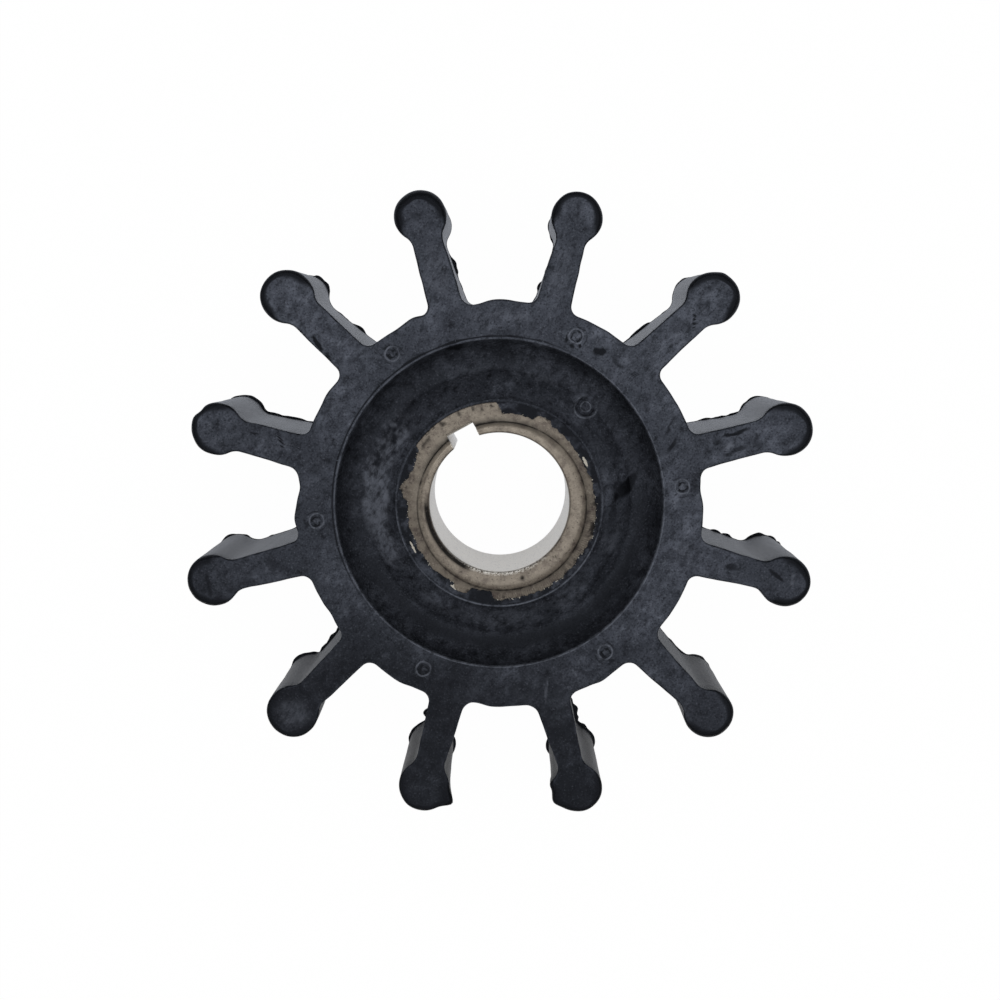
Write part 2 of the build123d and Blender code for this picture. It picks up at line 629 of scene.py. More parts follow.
@dataclass(frozen=True)
class Blot:
    """A soft-edged oval mark on the side that faces +Z.

    Its middle is at x, y; it reaches along and across, turned counterclockwise by turn degrees.
    A positive amount is a dark smudge and a negative one is a pale, chalky patch.
    """

    x: float
    y: float
    along: float
    across: float
    turn: float
    amount: float

    def cover(self, points: np.ndarray) -> np.ndarray:
        """Amount of the mark at each point.

        Formula: with u and v the distances along and across, each as a share of the oval's reach, the
        amount is full up to hypot(u, v) = 0.5 and fades by a smooth step to nothing at 1.2.

        Args:
            points: (..., 3) places in millimetres.

        Returns:
            One amount for each point.
        """
        turn = math.radians(self.turn)
        dx, dy = points[..., 0] - self.x, points[..., 1] - self.y
        u = (dx * math.cos(turn) + dy * math.sin(turn)) / self.along
        v = (dy * math.cos(turn) - dx * math.sin(turn)) / self.across
        return self.amount * (1.0 - smooth_step(np.hypot(u, v), 0.5, 1.2))


RUBBER_BLOTS = (
    Blot(13.6, 20.6, 0.95, 0.75, 10, 0.9),
    Blot(16.0, 19.0, 2.2, 0.45, -45, 0.45),
    Blot(18.2, 17.9, 0.6, 0.4, -30, 0.8),
    Blot(19.9, 14.7, 0.6, 0.4, -60, 0.35),
    Blot(23.2, 7.9, 1.6, 0.35, 65, 0.55),
    Blot(10.2, 21.6, 2.2, 0.35, -20, 0.45),
    Blot(0.5, 23.2, 3.5, 0.5, 0, 0.35),
    Blot(-6.0, 21.4, 1.8, 0.6, 15, 0.5),
    Blot(-11.5, 19.8, 2.0, 0.5, 30, 0.4),
    Blot(-22.6, 8.4, 0.5, 1.3, 10, 0.45),
    Blot(-11.3, 39.0, 1.2, 0.7, -10, 0.35),
    Blot(-29.7, 8.9, 0.28, 1.6, 12, 0.8),
    Blot(-27.4, 8.2, 0.3, 1.4, 12, 0.6),
    Blot(-33.2, 9.8, 1.0, 0.3, -15, 0.6),
    Blot(-24.5, 22.0, 0.35, 1.3, 25, 0.9),
    Blot(-23.0, 20.2, 1.2, 0.35, 130, 0.6),
    Blot(-19.0, 19.5, 0.8, 0.3, 130, 0.4),
    Blot(32.2, 9.8, 2.4, 0.35, 15, 0.6),
    Blot(29.5, 8.6, 1.0, 0.5, 15, 0.45),
    Blot(32.0, 7.5, 2.2, 0.5, 15, 0.45),
    Blot(35.0, 8.4, 1.0, 0.9, 0, 0.35),
    Blot(22.9, 10.4, 2.2, 0.28, 65, 0.5),
    Blot(34.9, 9.4, 0.16, 1.3, 5, -0.8),
    Blot(31.0, 8.0, 0.8, 0.5, 30, -0.7),
    Blot(26.0, 24.9, 0.22, 1.6, 10, 0.7),
    Blot(31.4, -8.5, 1.3, 0.6, -15, 0.5),
    Blot(37.5, -9.6, 1.6, 0.4, -35, 0.55),
    Blot(39.8, -10.2, 1.0, 0.4, 80, -0.5),
    Blot(-39.5, -10.8, 0.5, 2.6, 8, 0.45),
    Blot(-31.0, -8.0, 1.2, 1.0, 0, 0.4),
    Blot(-12.3, -37.5, 2.6, 1.6, 60, 0.3),
    Blot(-27.5, -24.5, 0.4, 2.2, 40, 0.4),
    Blot(17.3, 2.1, 2.6, 1.0, 52, 0.6),
    Blot(15.5, -1.6, 3.4, 0.8, 84, 0.5),
    Blot(-16.9, 0.0, 5.5, 2.0, 88, -0.55),
    Blot(-15.6, -5.8, 3.6, 1.4, 108, -0.42),
    Blot(-8.6, 31.5, 4.5, 1.8, 105, -0.35),
    Blot(8.4, 31.5, 4.5, 1.8, 75, -0.25),
    Blot(-28.2, -28.4, 2.6, 2.4, 0, -0.35),
    Blot(0.5, 15.4, 6.0, 1.2, 0, 0.25),
    Blot(-3.0, 18.2, 4.2, 0.7, 8, -0.25),
    Blot(6.0, 16.9, 3.6, 0.7, -20, -0.25),
    Blot(0.5, -16.2, 6.0, 1.6, 0, -0.18),
    Blot(9.5, -13.3, 3.0, 1.5, 40, -0.15),
    Blot(15.2, -5.0, 2.4, 1.3, 75, -0.2),
    Blot(-9.0, -14.3, 3.0, 1.6, -30, -0.15),
    Blot(24.9, -6.0, 1.2, 1.2, 0, -0.35),
    Blot(1.0, 25.4, 4.0, 0.8, 0, -0.35),
    Blot(13.3, 21.9, 0.5, 0.16, 60, -1.0),
    Blot(6.6, -24.8, 2.7, 0.22, 80, -0.4),
    Blot(10.3, -22.9, 0.9, 0.2, -65, -0.4),
)


# Middle and radius of the blank ring in the dish
BLANK_RING = (11.75, 13.05, 1.55)
GATE_RADIUS = 24.9
FIRST_GATE_CLOCK = 24.6
GATE_COUNT = 6


def gate_places() -> list[tuple[float, float]]:
    """Works out the middles of the gate scars: evenly spaced clockwise round the hub's running face.

    Returns:
        The x and y of each.
    """
    first = math.radians(90.0 - FIRST_GATE_CLOCK)
    angles = [first - number * FULL_TURN / GATE_COUNT for number in range(GATE_COUNT)]
    return [(GATE_RADIUS * math.cos(angle), GATE_RADIUS * math.sin(angle)) for angle in angles]


@dataclass(frozen=True)
class RubberWear:
    """How the mould, set and handling moved and marked the ideal rubber, and where light and shade are
    painted on it.

    Every shift is a smooth function of place alone, so welded seams stay closed.
    """

    sizes: ImpellerSizes
    # The outline's middle, which the mould put a little off the bore's axis
    off_centre: tuple[float, float] = (0.05, -0.25)
    # Swollen and dented spots of the hub's outline: clock angle and radial push
    hub_bumps: tuple[Row, ...] = (
        (0.0, 0.20),
        (86.0, -0.30),
        (127.0, -0.15),
        (150.0, 0.25),
        (187.0, -0.30),
        (210.0, 0.20),
        (266.0, 0.35),
        (275.0, -0.40),
        (303.0, 0.25),
        (335.0, 0.35),
        (353.0, -0.25),
    )
    hub_swell: float = 0.12
    bump_half_angle: float = 3.0
    # Torn or swollen spots of the front edge: x, y, reach, push along x, push along y
    lumps: tuple[Row, ...] = (
        (-7.2, -40.6, 1.0, 1.00, -0.75),
        (8.1, -40.6, 0.9, -0.45, -0.25),
        (7.0, -38.4, 0.70, -0.40, 0.00),
        (30.2, 32.0, 0.80, 0.20, 0.20),
        (-28.0, -29.9, 1.00, 0.00, 0.20),
        (-41.0, 13.2, 0.80, 0.25, -0.20),
        (-26.5, 7.3, 1.20, 0.30, 0.10),
        (-23.0, -14.8, 1.20, 0.20, 0.10),
        (5.0, -27.0, 1.50, 0.00, -0.20),
    )
    # Rings round each gate, partly stain and partly painted shade and highlight of their relief: amount,
    # radius and width
    gate_rings: tuple[Row, ...] = ((1.1, 0.55, 0.25), (-0.7, 1.0, 0.14), (0.6, 1.35, 0.16))
    # Rings round the blank ring, partly stain and partly painted shade and highlight of its relief:
    # amount, distance outside its radius and width
    blank_rings: tuple[Row, ...] = ((0.7, -0.35, 0.2), (-0.6, 0.0, 0.16))
    # Slow and quick waves of the outline: height, cell, share of Z that they follow, seeds along x and y
    waves: tuple[Row, ...] = ((0.08, 4.0, 0.12, 21, 37), (0.05, 1.3, 0.2, 26, 42))
    face_wave: float = 0.045
    # Clock angle towards which the rims' pale lines carry painted highlight, and away from which the
    # dish's edge carries painted shadow
    highlight_clock: float = 130.0
    # Bloom and painted sheen grow along this slant in x and y, fast and then slowly between three marks
    bloom_sheen_slant: tuple[float, float] = (0.3, 0.9)
    bloom_sheen_marks: tuple[float, float, float] = (-26.5, -12.5, 30.0)
    # Distances outside the hub's wall between which the outline's shift comes in and its swelling fades
    shift_in: Span = (-4.0, -1.0)
    swell_out: Span = (0.6, 3.2)
    # Heights above the front running face between which lumps and face waves come in
    lump_in: Span = (-8.0, -1.0)
    face_in: Span = (-1.2, -0.2)
    # Distances outside the bush between which face waves come in
    wave_in: Span = (0.2, 1.5)
    # Radii between which the dish's floor changes from rubbed to darker, where painted shade lies at
    # the foot of its wall
    floor_turns: Span = (15.5, 19.5)
    # Radii of the faint chalky band round the lip and of the scuff, and the scuff's clock angle
    rubbed_in: Span = (14.4, 14.9)
    scuff_band: Band = ((14.9, 15.8), (18.6, 19.6))
    scuff_clock: float = 287.0
    # Radius and width of the painted shade at the foot of the dish's wall, and the clock angle it faces
    foot_shade_band: tuple[float, float] = (19.4, 1.5)
    foot_shade_clock: float = 170.0
    # Clock angle that the lip's painted highlight faces
    lip_highlight_clock: float = 195.0

    def moved(self, points: np.ndarray) -> np.ndarray:
        """Moves ideal points to where wear puts them.

        Formula: outside the hub's middle the outline shifts off centre and waves, near the hub's wall
        it swells by bell curves of the clock angle, each lump pulls by a bell curve of the distance,
        and the front face sinks by noise.

        Args:
            points: (n, 3) ideal points in millimetres.

        Returns:
            The moved points.
        """
        sizes = self.sizes
        radius = plan_distance(points)
        shift = np.zeros_like(points)
        outer = smooth_step(radius - sizes.hub_radius, *self.shift_in)
        for axis in (0, 1):
            waves = [
                height * lattice_noise(points * [1.0, 1.0, along], cell, seeds[axis])
                for height, cell, along, *seeds in self.waves
            ]
            shift[:, axis] += outer * (self.off_centre[axis] + waves[0] + waves[1])
        clock = clock_degrees(points)
        away = 1.0 - smooth_step(radius - sizes.hub_radius, *self.swell_out)
        swell = np.full(len(points), self.hub_swell)
        for at, push in self.hub_bumps:
            turn = (clock - at + 180.0) % 360.0 - 180.0
            swell += push * bell(turn, self.bump_half_angle)
        shift[:, :2] += (outer * away * swell / np.maximum(radius, 1.0))[:, None] * points[:, :2]
        near_front = smooth_step(points[:, 2] - sizes.width, *self.lump_in)
        for x, y, reach, push_x, push_y in self.lumps:
            pull = near_front * bell(plan_distance(points, x, y), reach)
            shift[:, 0] += pull * push_x
            shift[:, 1] += pull * push_y
        top = smooth_step(points[:, 2] - sizes.width, *self.face_in)
        ring = smooth_step(radius - sizes.bush_radius, *self.wave_in)
        shift[:, 2] -= top * ring * self.face_wave * (1.0 + layered_noise(points, 2.6, 51))
        return points + shift

    def dull(self, points: np.ndarray) -> np.ndarray:
        """How far bloom and painted sheen pale each point, from 0 to about 1; the painted sheen makes the
        part lighter towards the top.

        Formula: two smooth steps of the distance along one slanting line across the part, so that
        the lower left stays darker, and a share of that inside the dish, falling towards the foot of its
        wall as painted shade.

        Args:
            points: (..., 3) places in millimetres.

        Returns:
            One value for each point.
        """
        start, middle, end = self.bloom_sheen_marks
        along = self.bloom_sheen_slant[0] * points[..., 0] + self.bloom_sheen_slant[1] * points[..., 1]
        ragged = along + 1.5 * layered_noise(points, 5.0, 87)
        # Painted sheen as well as bloom: the share grows towards the top
        share = 0.7 * smooth_step(ragged, start, middle) + 0.35 * smooth_step(ragged, middle, end)
        radius = plan_distance(points)
        in_dish = 1.0 - smooth_step(radius, self.sizes.dish_radius - 0.2, self.sizes.dish_radius)
        floor = 0.5 - 0.26 * smooth_step(radius, *self.floor_turns)
        return share * (1.0 - in_dish) + in_dish * floor * (0.4 + 0.6 * share)

    def mould_stain_and_shading(self, points: np.ndarray) -> np.ndarray:
        """Stain with painted shade and highlight round the gates and the blank ring: bell curves of the
        distance from each ring.

        Args:
            points: (..., 3) places in millimetres.

        Returns:
            One value for each point.
        """
        total = np.zeros(points.shape[:-1])
        for x, y in gate_places():
            away = plan_distance(points, x, y)
            total += sum(amount * bell(away - ring, width) for amount, ring, width in self.gate_rings)
        x, y, radius = BLANK_RING
        away = plan_distance(points, x, y) - radius
        return total + sum(amount * bell(away - out, width) for amount, out, width in self.blank_rings)

    def rim_highlight_and_shadow(self, points: np.ndarray) -> np.ndarray:
        """Pale lines along the dish's edge and the lip round the bush, partly worn and chalky and partly
        painted highlight, and a painted shadow just outside the dish's edge.

        Formula: thin bell curves of the radius, pale along each rim and dark just outside the dish's
        edge on the other side, each scaled by how far it faces a clock angle.

        Args:
            points: (..., 3) places in millimetres.

        Returns:
            One value for each point.
        """
        sizes = self.sizes
        radius = plan_distance(points)
        # Painted highlight on the rims grows towards the highlight clock, and painted shadow away from it
        lit = 0.5 + 0.5 * facing(points, self.highlight_clock, -0.3, 0.5)
        lip = 0.12 + 0.6 * facing(points, self.lip_highlight_clock, -0.4, 0.5)
        past_edge, past_bush = radius - sizes.dish_radius, radius - sizes.bush_radius
        worn = bell(past_edge - 0.06, 0.09) + lip * bell(past_bush - 0.3, 0.09)
        worn = worn * np.clip(0.8 + 0.6 * layered_noise(points, 1.8, 99), 0.25, 1.2)
        shadow = 0.9 * (1.0 - facing(points, self.highlight_clock, -0.7, 0.2))
        return shadow * bell(past_edge - 0.36, 0.10) - 2.1 * lit * worn

    def floor_shade_and_stain(self, points: np.ndarray) -> np.ndarray:
        """Painted shade and stain on the dish's floor.

        Formula: a dark band of painted shade at its foot, strongest at the bottom, a faint chalky band
        round the lip, and a ragged scuff on the left.

        Args:
            points: (..., 3) places in millimetres.

        Returns:
            One value for each point.
        """
        radius = plan_distance(points)
        middle, width = self.foot_shade_band
        # Painted shade at the foot of the dish's wall, strongest at the bottom
        foot = (0.08 + 0.50 * facing(points, self.foot_shade_clock, -0.5, 0.8)) * bell(radius - middle, width)
        rubbed = 0.16 * window(radius, self.rubbed_in, self.floor_turns)
        scuffed = facing(points, self.scuff_clock, 0.86, 0.97) * window(radius, *self.scuff_band)
        scuffed = scuffed * np.clip(0.38 + 0.7 * layered_noise(points, 0.75, 97), -0.2, 1.0)
        return foot - rubbed - scuffed

    def stain(self, points: np.ndarray) -> np.ndarray:
        """Dark smears and painted shade above zero, chalky marks and painted highlights below it, on the
        faces that look up only.

        Formula: the sum of all stains, painted shade and highlights, and of the blots, whose places
        noise makes ragged.

        Args:
            points: (..., 3) places in millimetres.

        Returns:
            One value for each point.
        """
        front = smooth_step(points[..., 2], self.sizes.width - 5.0, self.sizes.width - 4.5)
        noise = [layered_noise(points, 1.6, seed) for seed in (81, 82)]
        ragged = points + 0.35 * np.stack([*noise, np.zeros(points.shape[:-1])], axis=-1)
        blots = 1.2 * sum(blot.cover(ragged) for blot in RUBBER_BLOTS)
        return front * (self.mould_stain_and_shading(points) + self.rim_highlight_and_shadow(points) + self.floor_shade_and_stain(points) + blots)


# --------------------------------------------------------------------------------------------------
# Rubber body
# --------------------------------------------------------------------------------------------------


@dataclass(frozen=True)
class VaneShape:
    """One vane as it came out of the mould.

    Lean swings its bead clockwise, in millimetres at the bead, and reach is added to its tip radius.
    Plump is added to its bead's radius and, doubled, to the half thickness of its neck. Edge is the
    round of its bead's front edge.
    """

    clock: float
    lean: float
    reach: float
    plump: float
    edge: float


VANES = (
    VaneShape(15, 0.0, 0.1, 0.00, 0.65),
    VaneShape(45, 0.5, 0.2, 0.10, 0.80),
    VaneShape(75, 0.1, 0.2, 0.10, 0.75),
    VaneShape(105, 0.0, 0.2, -0.05, 0.75),
    VaneShape(135, 0.0, 0.3, -0.10, 0.70),
    VaneShape(165, -0.2, 0.2, -0.10, 0.60),
    VaneShape(195, 0.0, 0.0, 0.00, 0.50),
    VaneShape(225, 0.0, 0.1, 0.05, 0.50),
    VaneShape(255, 0.2, 0.4, 0.05, 0.65),
    VaneShape(285, 0.1, -0.3, 0.05, 0.60),
    VaneShape(315, -0.3, 0.3, 0.15, 0.65),
    VaneShape(345, -0.2, 0.4, 0.05, 0.95),
)


@dataclass
class HalfVane:
    """Half the outline of a vane that lies along +X, from the middle of the gap beside it to its tip.

    Formula: hub arc, root fillet, straight side v = a - s u, neck blend and bead arc. A fillet's
    centre lies one fillet radius off the side and one fillet radius outside the hub or the bead.
    """

    sizes: ImpellerSizes
    bead: float
    tip: float
    neck: float
    root: float
    dish_edge: float
    # Samples of the hub's arc, the root fillet, the side, the neck's hollow and the bead
    counts: tuple[int, int, int, int, int] = (12, 8, 26, 8, 26)
    # How far the ribs' inner ends follow the bead's samples towards its front and back
    rib_spread: float = 0.55
    slope: float = field(init=False)
    at_axis: float = field(init=False)
    edge: np.ndarray = field(init=False)
    normal: np.ndarray = field(init=False)
    inner: np.ndarray = field(init=False)
    bead_share: np.ndarray = field(init=False)

    @property
    def dish_count(self) -> int:
        """Number of samples whose ribs end on the dish."""
        return self.counts[0] + self.counts[1] - 1

    def fillet_centre(self, middle: float, reach: float, off: float, sign: float) -> np.ndarray:
        """Centre of a fillet between the side and a circle round (middle, 0).

        Formula: the point of the line v = a + off - s u at distance reach from (middle, 0).

        Args:
            middle: the circle's centre along the vane.
            reach: distance from that centre.
            off: distance of the fillet's line from the side, measured along v.
            sign: 1 for the crossing farther out, -1 for the one nearer the shaft.

        Returns:
            The centre.
        """
        height = self.at_axis + off
        a = 1.0 + self.slope**2
        b = -2.0 * (middle + self.slope * height)
        c = middle**2 + height**2 - reach**2
        u = (-b + sign * math.sqrt(b * b - 4.0 * a * c)) / (2.0 * a)
        return np.array([u, height - self.slope * u])

    def __post_init__(self) -> None:
        """Works out the outline, its outward normals, the ribs' inner ends and the bead's share."""
        sizes = self.sizes
        hub_n, fillet_n, side_n, neck_n, bead_n = self.counts
        circle = self.tip - self.bead
        self.slope = (self.root - self.neck) / (circle - self.bead - sizes.hub_radius)
        self.at_axis = self.root + self.slope * sizes.hub_radius
        lean = math.hypot(1.0, self.slope)
        side_normal = np.array([self.slope, 1.0]) / lean
        root = self.fillet_centre(0.0, sizes.hub_radius + sizes.root_fillet, sizes.root_fillet * lean, 1.0)
        neck = self.fillet_centre(circle, self.bead + sizes.neck_blend, sizes.neck_blend * lean, -1.0)
        middle = np.array([circle, 0.0])
        root_on_side = root - sizes.root_fillet * side_normal
        neck_on_side = neck - sizes.neck_blend * side_normal
        root_on_hub = root * sizes.hub_radius / (sizes.hub_radius + sizes.root_fillet)
        neck_on_bead = middle + (neck - middle) * self.bead / (self.bead + sizes.neck_blend)
        gap = math.pi / sizes.vane_count
        gap_point = sizes.hub_radius * np.array([math.cos(gap), math.sin(gap)])
        hub = arc(np.zeros(2), gap_point, root_on_hub, hub_n)
        fillet = arc(root, root_on_hub, root_on_side, fillet_n)[1:]
        side = np.linspace(root_on_side, neck_on_side, side_n)[1:]
        hollow = arc(neck, neck_on_side, neck_on_bead, neck_n)[1:]
        bead = arc(middle, neck_on_bead, np.array([self.tip, 0.0]), bead_n)[1:]
        self.edge = np.concatenate([hub, fillet, side, hollow, bead])
        self.normal = np.concatenate(
            [
                hub / sizes.hub_radius,
                (root - fillet) / sizes.root_fillet,
                np.broadcast_to(side_normal, side.shape),
                (neck - hollow) / sizes.neck_blend,
                (bead - middle) / self.bead,
            ]
        )
        sweep = np.linspace(gap, 0.0, self.dish_count)
        dish = self.dish_edge * np.stack([np.cos(sweep), np.sin(sweep)], axis=-1)
        into_bead = circle + self.rib_spread * (np.r_[neck_on_bead[0], bead[:, 0]] - circle)
        along = np.r_[
            np.linspace(self.dish_edge, neck_on_side[0], side_n)[1:],
            np.linspace(neck_on_side[0], into_bead[0], neck_n)[1:],
            into_bead[1:],
        ]
        self.inner = np.concatenate([dish, np.stack([along, np.zeros(len(along))], axis=-1)])
        self.bead_share = smooth_step(self.edge[:, 0], circle - 0.9 * self.bead, circle + 0.1 * self.bead)


def there_and_back(half: np.ndarray, mirror: bool = False) -> np.ndarray:
    """Rows for a whole vane from those for half of it, from gap to tip.

    Formula: the half as it is, then its rows backwards without the two ends.

    Args:
        half: one row for each sample of the half.
        mirror: whether the first half's second column changes sign.

    Returns:
        Rows from the gap on the vane's clockwise side to just before the next gap.
    """
    whole = np.concatenate([half, half[-2:0:-1]])
    if mirror:
        whole[: len(half), 1] *= -1.0
    return whole


@dataclass
class StarOutline:
    """The closed outline of hub and vanes at both running faces, sampled in order.

    Each sample has a rib that crosses the running face: from the hub it ends on the dish's edge, and
    from a vane it ends on the vane's centre line, where both halves of the vane meet.
    """

    sizes: ImpellerSizes
    dish_edge: float
    # A vane's lean is full at this radius
    lean_radius: float = 40.0
    front: np.ndarray = field(init=False)
    back: np.ndarray = field(init=False)
    normal: np.ndarray = field(init=False)
    inner: np.ndarray = field(init=False)
    bead: np.ndarray = field(init=False)
    bead_edge: np.ndarray = field(init=False)
    dish_angles: np.ndarray = field(init=False)

    def __post_init__(self) -> None:
        """Strings the sectors of all vanes together, counterclockwise."""
        sectors = [self.sector(vane) for vane in sorted(VANES, key=lambda vane: -vane.clock)]
        for name in sectors[0]:
            setattr(self, name, np.concatenate([sector[name] for sector in sectors]))
        # The hub's ribs end on the dish's edge, and those of the vanes end farther out
        ends = self.inner[np.hypot(*self.inner.T) < self.dish_edge + 1e-6]
        self.dish_angles = np.unique(np.round(np.arctan2(ends[:, 1], ends[:, 0]) % FULL_TURN, 8))

    def placed(self, half: np.ndarray, vane: VaneShape) -> np.ndarray:
        """Completes half an outline, leans it and turns it to its vane's place.

        Formula: a point moves sideways by the lean times its share of the way from the hub's wall to
        the radius where the lean is full, and then the whole turns.

        Args:
            half: (samples, 2) points from gap to tip, of a vane along +X.
            vane: the vane.

        Returns:
            (samples, 2) points of the whole sector.
        """
        line = there_and_back(half, mirror=True)
        hub = self.sizes.hub_radius
        share = np.clip((line[:, 0] - hub) / (self.lean_radius - hub), 0.0, 1.3)
        line = line - np.stack([np.zeros(len(line)), vane.lean * share], axis=-1)
        return turned(line, math.radians(90.0 - vane.clock))

    def sector(self, vane: VaneShape) -> dict[str, np.ndarray]:
        """One vane's outlines in place, from the gap on its clockwise side to the next gap.

        Formula: the front outline is half a vane with its mirror image, and the back one is the same
        with the mould's taper off its bead, tip and neck.

        Args:
            vane: the vane.

        Returns:
            The sector's share of each of this class's arrays, by name.
        """
        sizes = self.sizes
        tip, taper = sizes.tip_radius + vane.reach, sizes.back_taper
        neck, back_neck = sizes.neck_half + 2.0 * vane.plump, sizes.neck_half - 2.0 * taper
        inside = {"root": sizes.root_half, "dish_edge": self.dish_edge}
        front = HalfVane(sizes, sizes.bead_radius + vane.plump, tip, neck, **inside)
        back = HalfVane(sizes, sizes.bead_radius - taper, tip - taper, back_neck, **inside)
        bead = there_and_back(front.bead_share)
        return {
            "front": self.placed(front.edge, vane),
            "back": self.placed(back.edge, vane),
            "normal": turned(there_and_back(front.normal, mirror=True), math.radians(90.0 - vane.clock)),
            "inner": self.placed(front.inner, vane),
            "bead": bead,
            "bead_edge": np.full(len(bead), vane.edge),
        }


@dataclass
class RubberBody:
    """The moulded hub and vanes."""

    sizes: ImpellerSizes
    wear: RubberWear
    material: bpy.types.Material
    face_rows: int = 11
    edge_rows: int = 6
    wall_rows: int = 10
    back_rows: int = 5
    hub_edge: float = 0.26
    back_edge: float = 0.12
    dish_edge_round: float = 0.14
    floor_depth: float = 3.4
    sweep_start: float = 4.2
    sweep_dip: float = 0.4
    wall_lean: float = 0.9
    lip_height: float = 0.25
    lip_width: float = 0.5
    # The lip's outer foot: distance outside the lip, and below its top
    lip_foot: tuple[float, float] = (0.35, 0.42)
    back_draft: float = math.tan(math.radians(25.0))
    outline: StarOutline = field(init=False)

    def build(self) -> bpy.types.Object:
        """Builds and dresses the body, and keeps its outline for what the mould left round it.

        Returns:
            The body.
        """
        self.outline = StarOutline(self.sizes, self.sizes.dish_radius + self.dish_edge_round)
        skin = Skin("rubber_hub_and_vanes")
        self.add_ribs(skin)
        self.add_dish(skin)
        skin.points = [self.wear.moved(points) for points in skin.points]
        piece = skin.build()
        return dress(piece, self.material, replaces="rubber_body")

    def edge_round(self) -> np.ndarray:
        """Edge radius at each outline sample.

        Formula: it grows from the hub's to the bead's by the bead's share, and noise makes it uneven.

        Returns:
            One radius for each sample.
        """
        outline = self.outline
        place = np.c_[outline.front, np.zeros(len(outline.front))]
        even = self.hub_edge + (outline.bead_edge - self.hub_edge) * outline.bead
        return even * (1.0 + 0.35 * lattice_noise(place, 2.2, 11))

    def add_ribs(self, skin: Skin) -> None:
        """Adds the running faces, the rounded edges and the walls.

        Formula: each outline sample has one rib. It runs straight from its inner end to one edge
        radius inside the outline, turns a quarter circle, drops down the ruled wall and returns below.

        Args:
            skin: gets the grid, one row for each rib.
        """
        outline, sizes = self.outline, self.sizes
        radius = self.edge_round()[:, None]
        turn = np.linspace(0.0, math.pi / 2.0, self.edge_rows + 1)[None, 1:]
        share = np.r_[0.0, 0.015, 0.04, np.linspace(0.1, 1.0, self.face_rows - 2)][None, :, None]
        inset = (outline.front - outline.normal * radius)[:, None, :]
        flat = outline.inner[:, None, :] * (1.0 - share) + inset * share
        inward = (radius * (1.0 - np.sin(turn)))[..., None]
        rounded = outline.front[:, None, :] - outline.normal[:, None, :] * inward
        down = np.linspace(0.0, 1.0, self.wall_rows + 1)[None, 1:]
        wall_z = (sizes.width - radius) * (1.0 - down) + self.back_edge * down
        to_back = (1.0 - wall_z / sizes.width)[..., None]
        wall = outline.front[:, None, :] * (1.0 - to_back) + outline.back[:, None, :] * to_back
        back_share = np.linspace(1.0, 0.0, self.back_rows + 1)[None, :, None]
        back_inset = (outline.back - outline.normal * self.back_edge)[:, None, :]
        back = outline.inner[:, None, :] * (1.0 - back_share) + back_inset * back_share
        level = np.ones((len(outline.front), 1))
        flat_level, back_level = level * np.ones(flat.shape[1]), level * np.ones(back.shape[1])
        wall_level = level * np.ones(self.wall_rows)
        drop = [0.0 * flat_level, radius * (1.0 - np.cos(turn)), sizes.width - wall_z]
        height = np.concatenate([sizes.width - np.concatenate(drop, axis=1), 0.0 * back_level], axis=1)
        plan = np.concatenate([flat, rounded, wall, back], axis=1)
        grid = np.concatenate([plan, height[..., None]], axis=-1)
        # The face mark fades round the edge, where the bead's edge mark takes over; it paints the bead's
        # rounded edge darker, partly clean black skin and partly painted shade
        face = [flat_level, level * (1.0 - smooth_step(turn, 0.0, 0.6)), 0.0 * wall_level, back_level]
        across = smooth_step(np.linspace(0.0, 1.0, flat.shape[1]), 0.75, 1.0)
        over = 0.8 + 0.2 * smooth_step(turn, 0.0, 0.5) - 0.5 * smooth_step(turn, 1.2, 1.57)
        bead = outline.bead[:, None]
        edge = [bead * 0.8 * across, bead * over, 0.0 * wall_level, 0.0 * back_level]
        marks = {"face": np.concatenate(face, axis=1), "edge": np.concatenate(edge, axis=1)}
        skin.add(grid, wrap=True, dull=self.wear.dull(grid), stain=self.wear.stain(grid), **marks)

    def front_profile(self) -> np.ndarray:
        """Radius and height down the front dish, from its edge to the bush.

        Formula: a quarter round cut short where it meets the wall, a quadratic Bezier that sweeps
        down the wall into the floor, the straight floor, and a half-round lip.

        Returns:
            (samples, 2) radii and heights.
        """
        sizes = self.sizes
        turn = np.linspace(0.0, math.radians(62.0), 5)
        quarter = np.stack([1.0 - np.sin(turn), np.cos(turn) - 1.0], axis=-1)
        edge = [sizes.dish_radius, sizes.width] + self.dish_edge_round * quarter
        floor_z = sizes.width - self.floor_depth
        middle = np.array([sizes.dish_radius - self.wall_lean, floor_z - self.sweep_dip])
        end = np.array([sizes.dish_radius - self.sweep_start, floor_z])
        sweep = bezier(edge[-1], middle, end, 15)
        lip_top, half = sizes.bush_front + self.lip_height, self.lip_width / 2.0
        foot_out, foot_down = self.lip_foot
        foot = np.array([sizes.bush_radius + self.lip_width + foot_out, lip_top - foot_down])
        floor = np.linspace(end, foot, 24)[1:]
        lip_turn = np.linspace(math.radians(10.0), math.pi, 8)
        lip = half * np.stack([np.cos(lip_turn), np.sin(lip_turn)], axis=-1)
        return np.concatenate([edge, sweep, floor, lip + [sizes.bush_radius + half, lip_top - half]])

    def back_profile(self) -> np.ndarray:
        """Radius and height from the bush, straight out along the back dish's floor and down its wall.

        Returns:
            (samples, 2) radii and heights.
        """
        sizes = self.sizes
        foot = sizes.dish_radius - sizes.bush_back * self.back_draft
        floor = np.linspace(sizes.bush_radius, foot, 6)
        radius = np.r_[floor, sizes.dish_radius, sizes.dish_radius + self.dish_edge_round]
        return np.stack([radius, np.r_[np.full(6, sizes.bush_back), self.dish_edge_round, 0.0]], axis=-1)

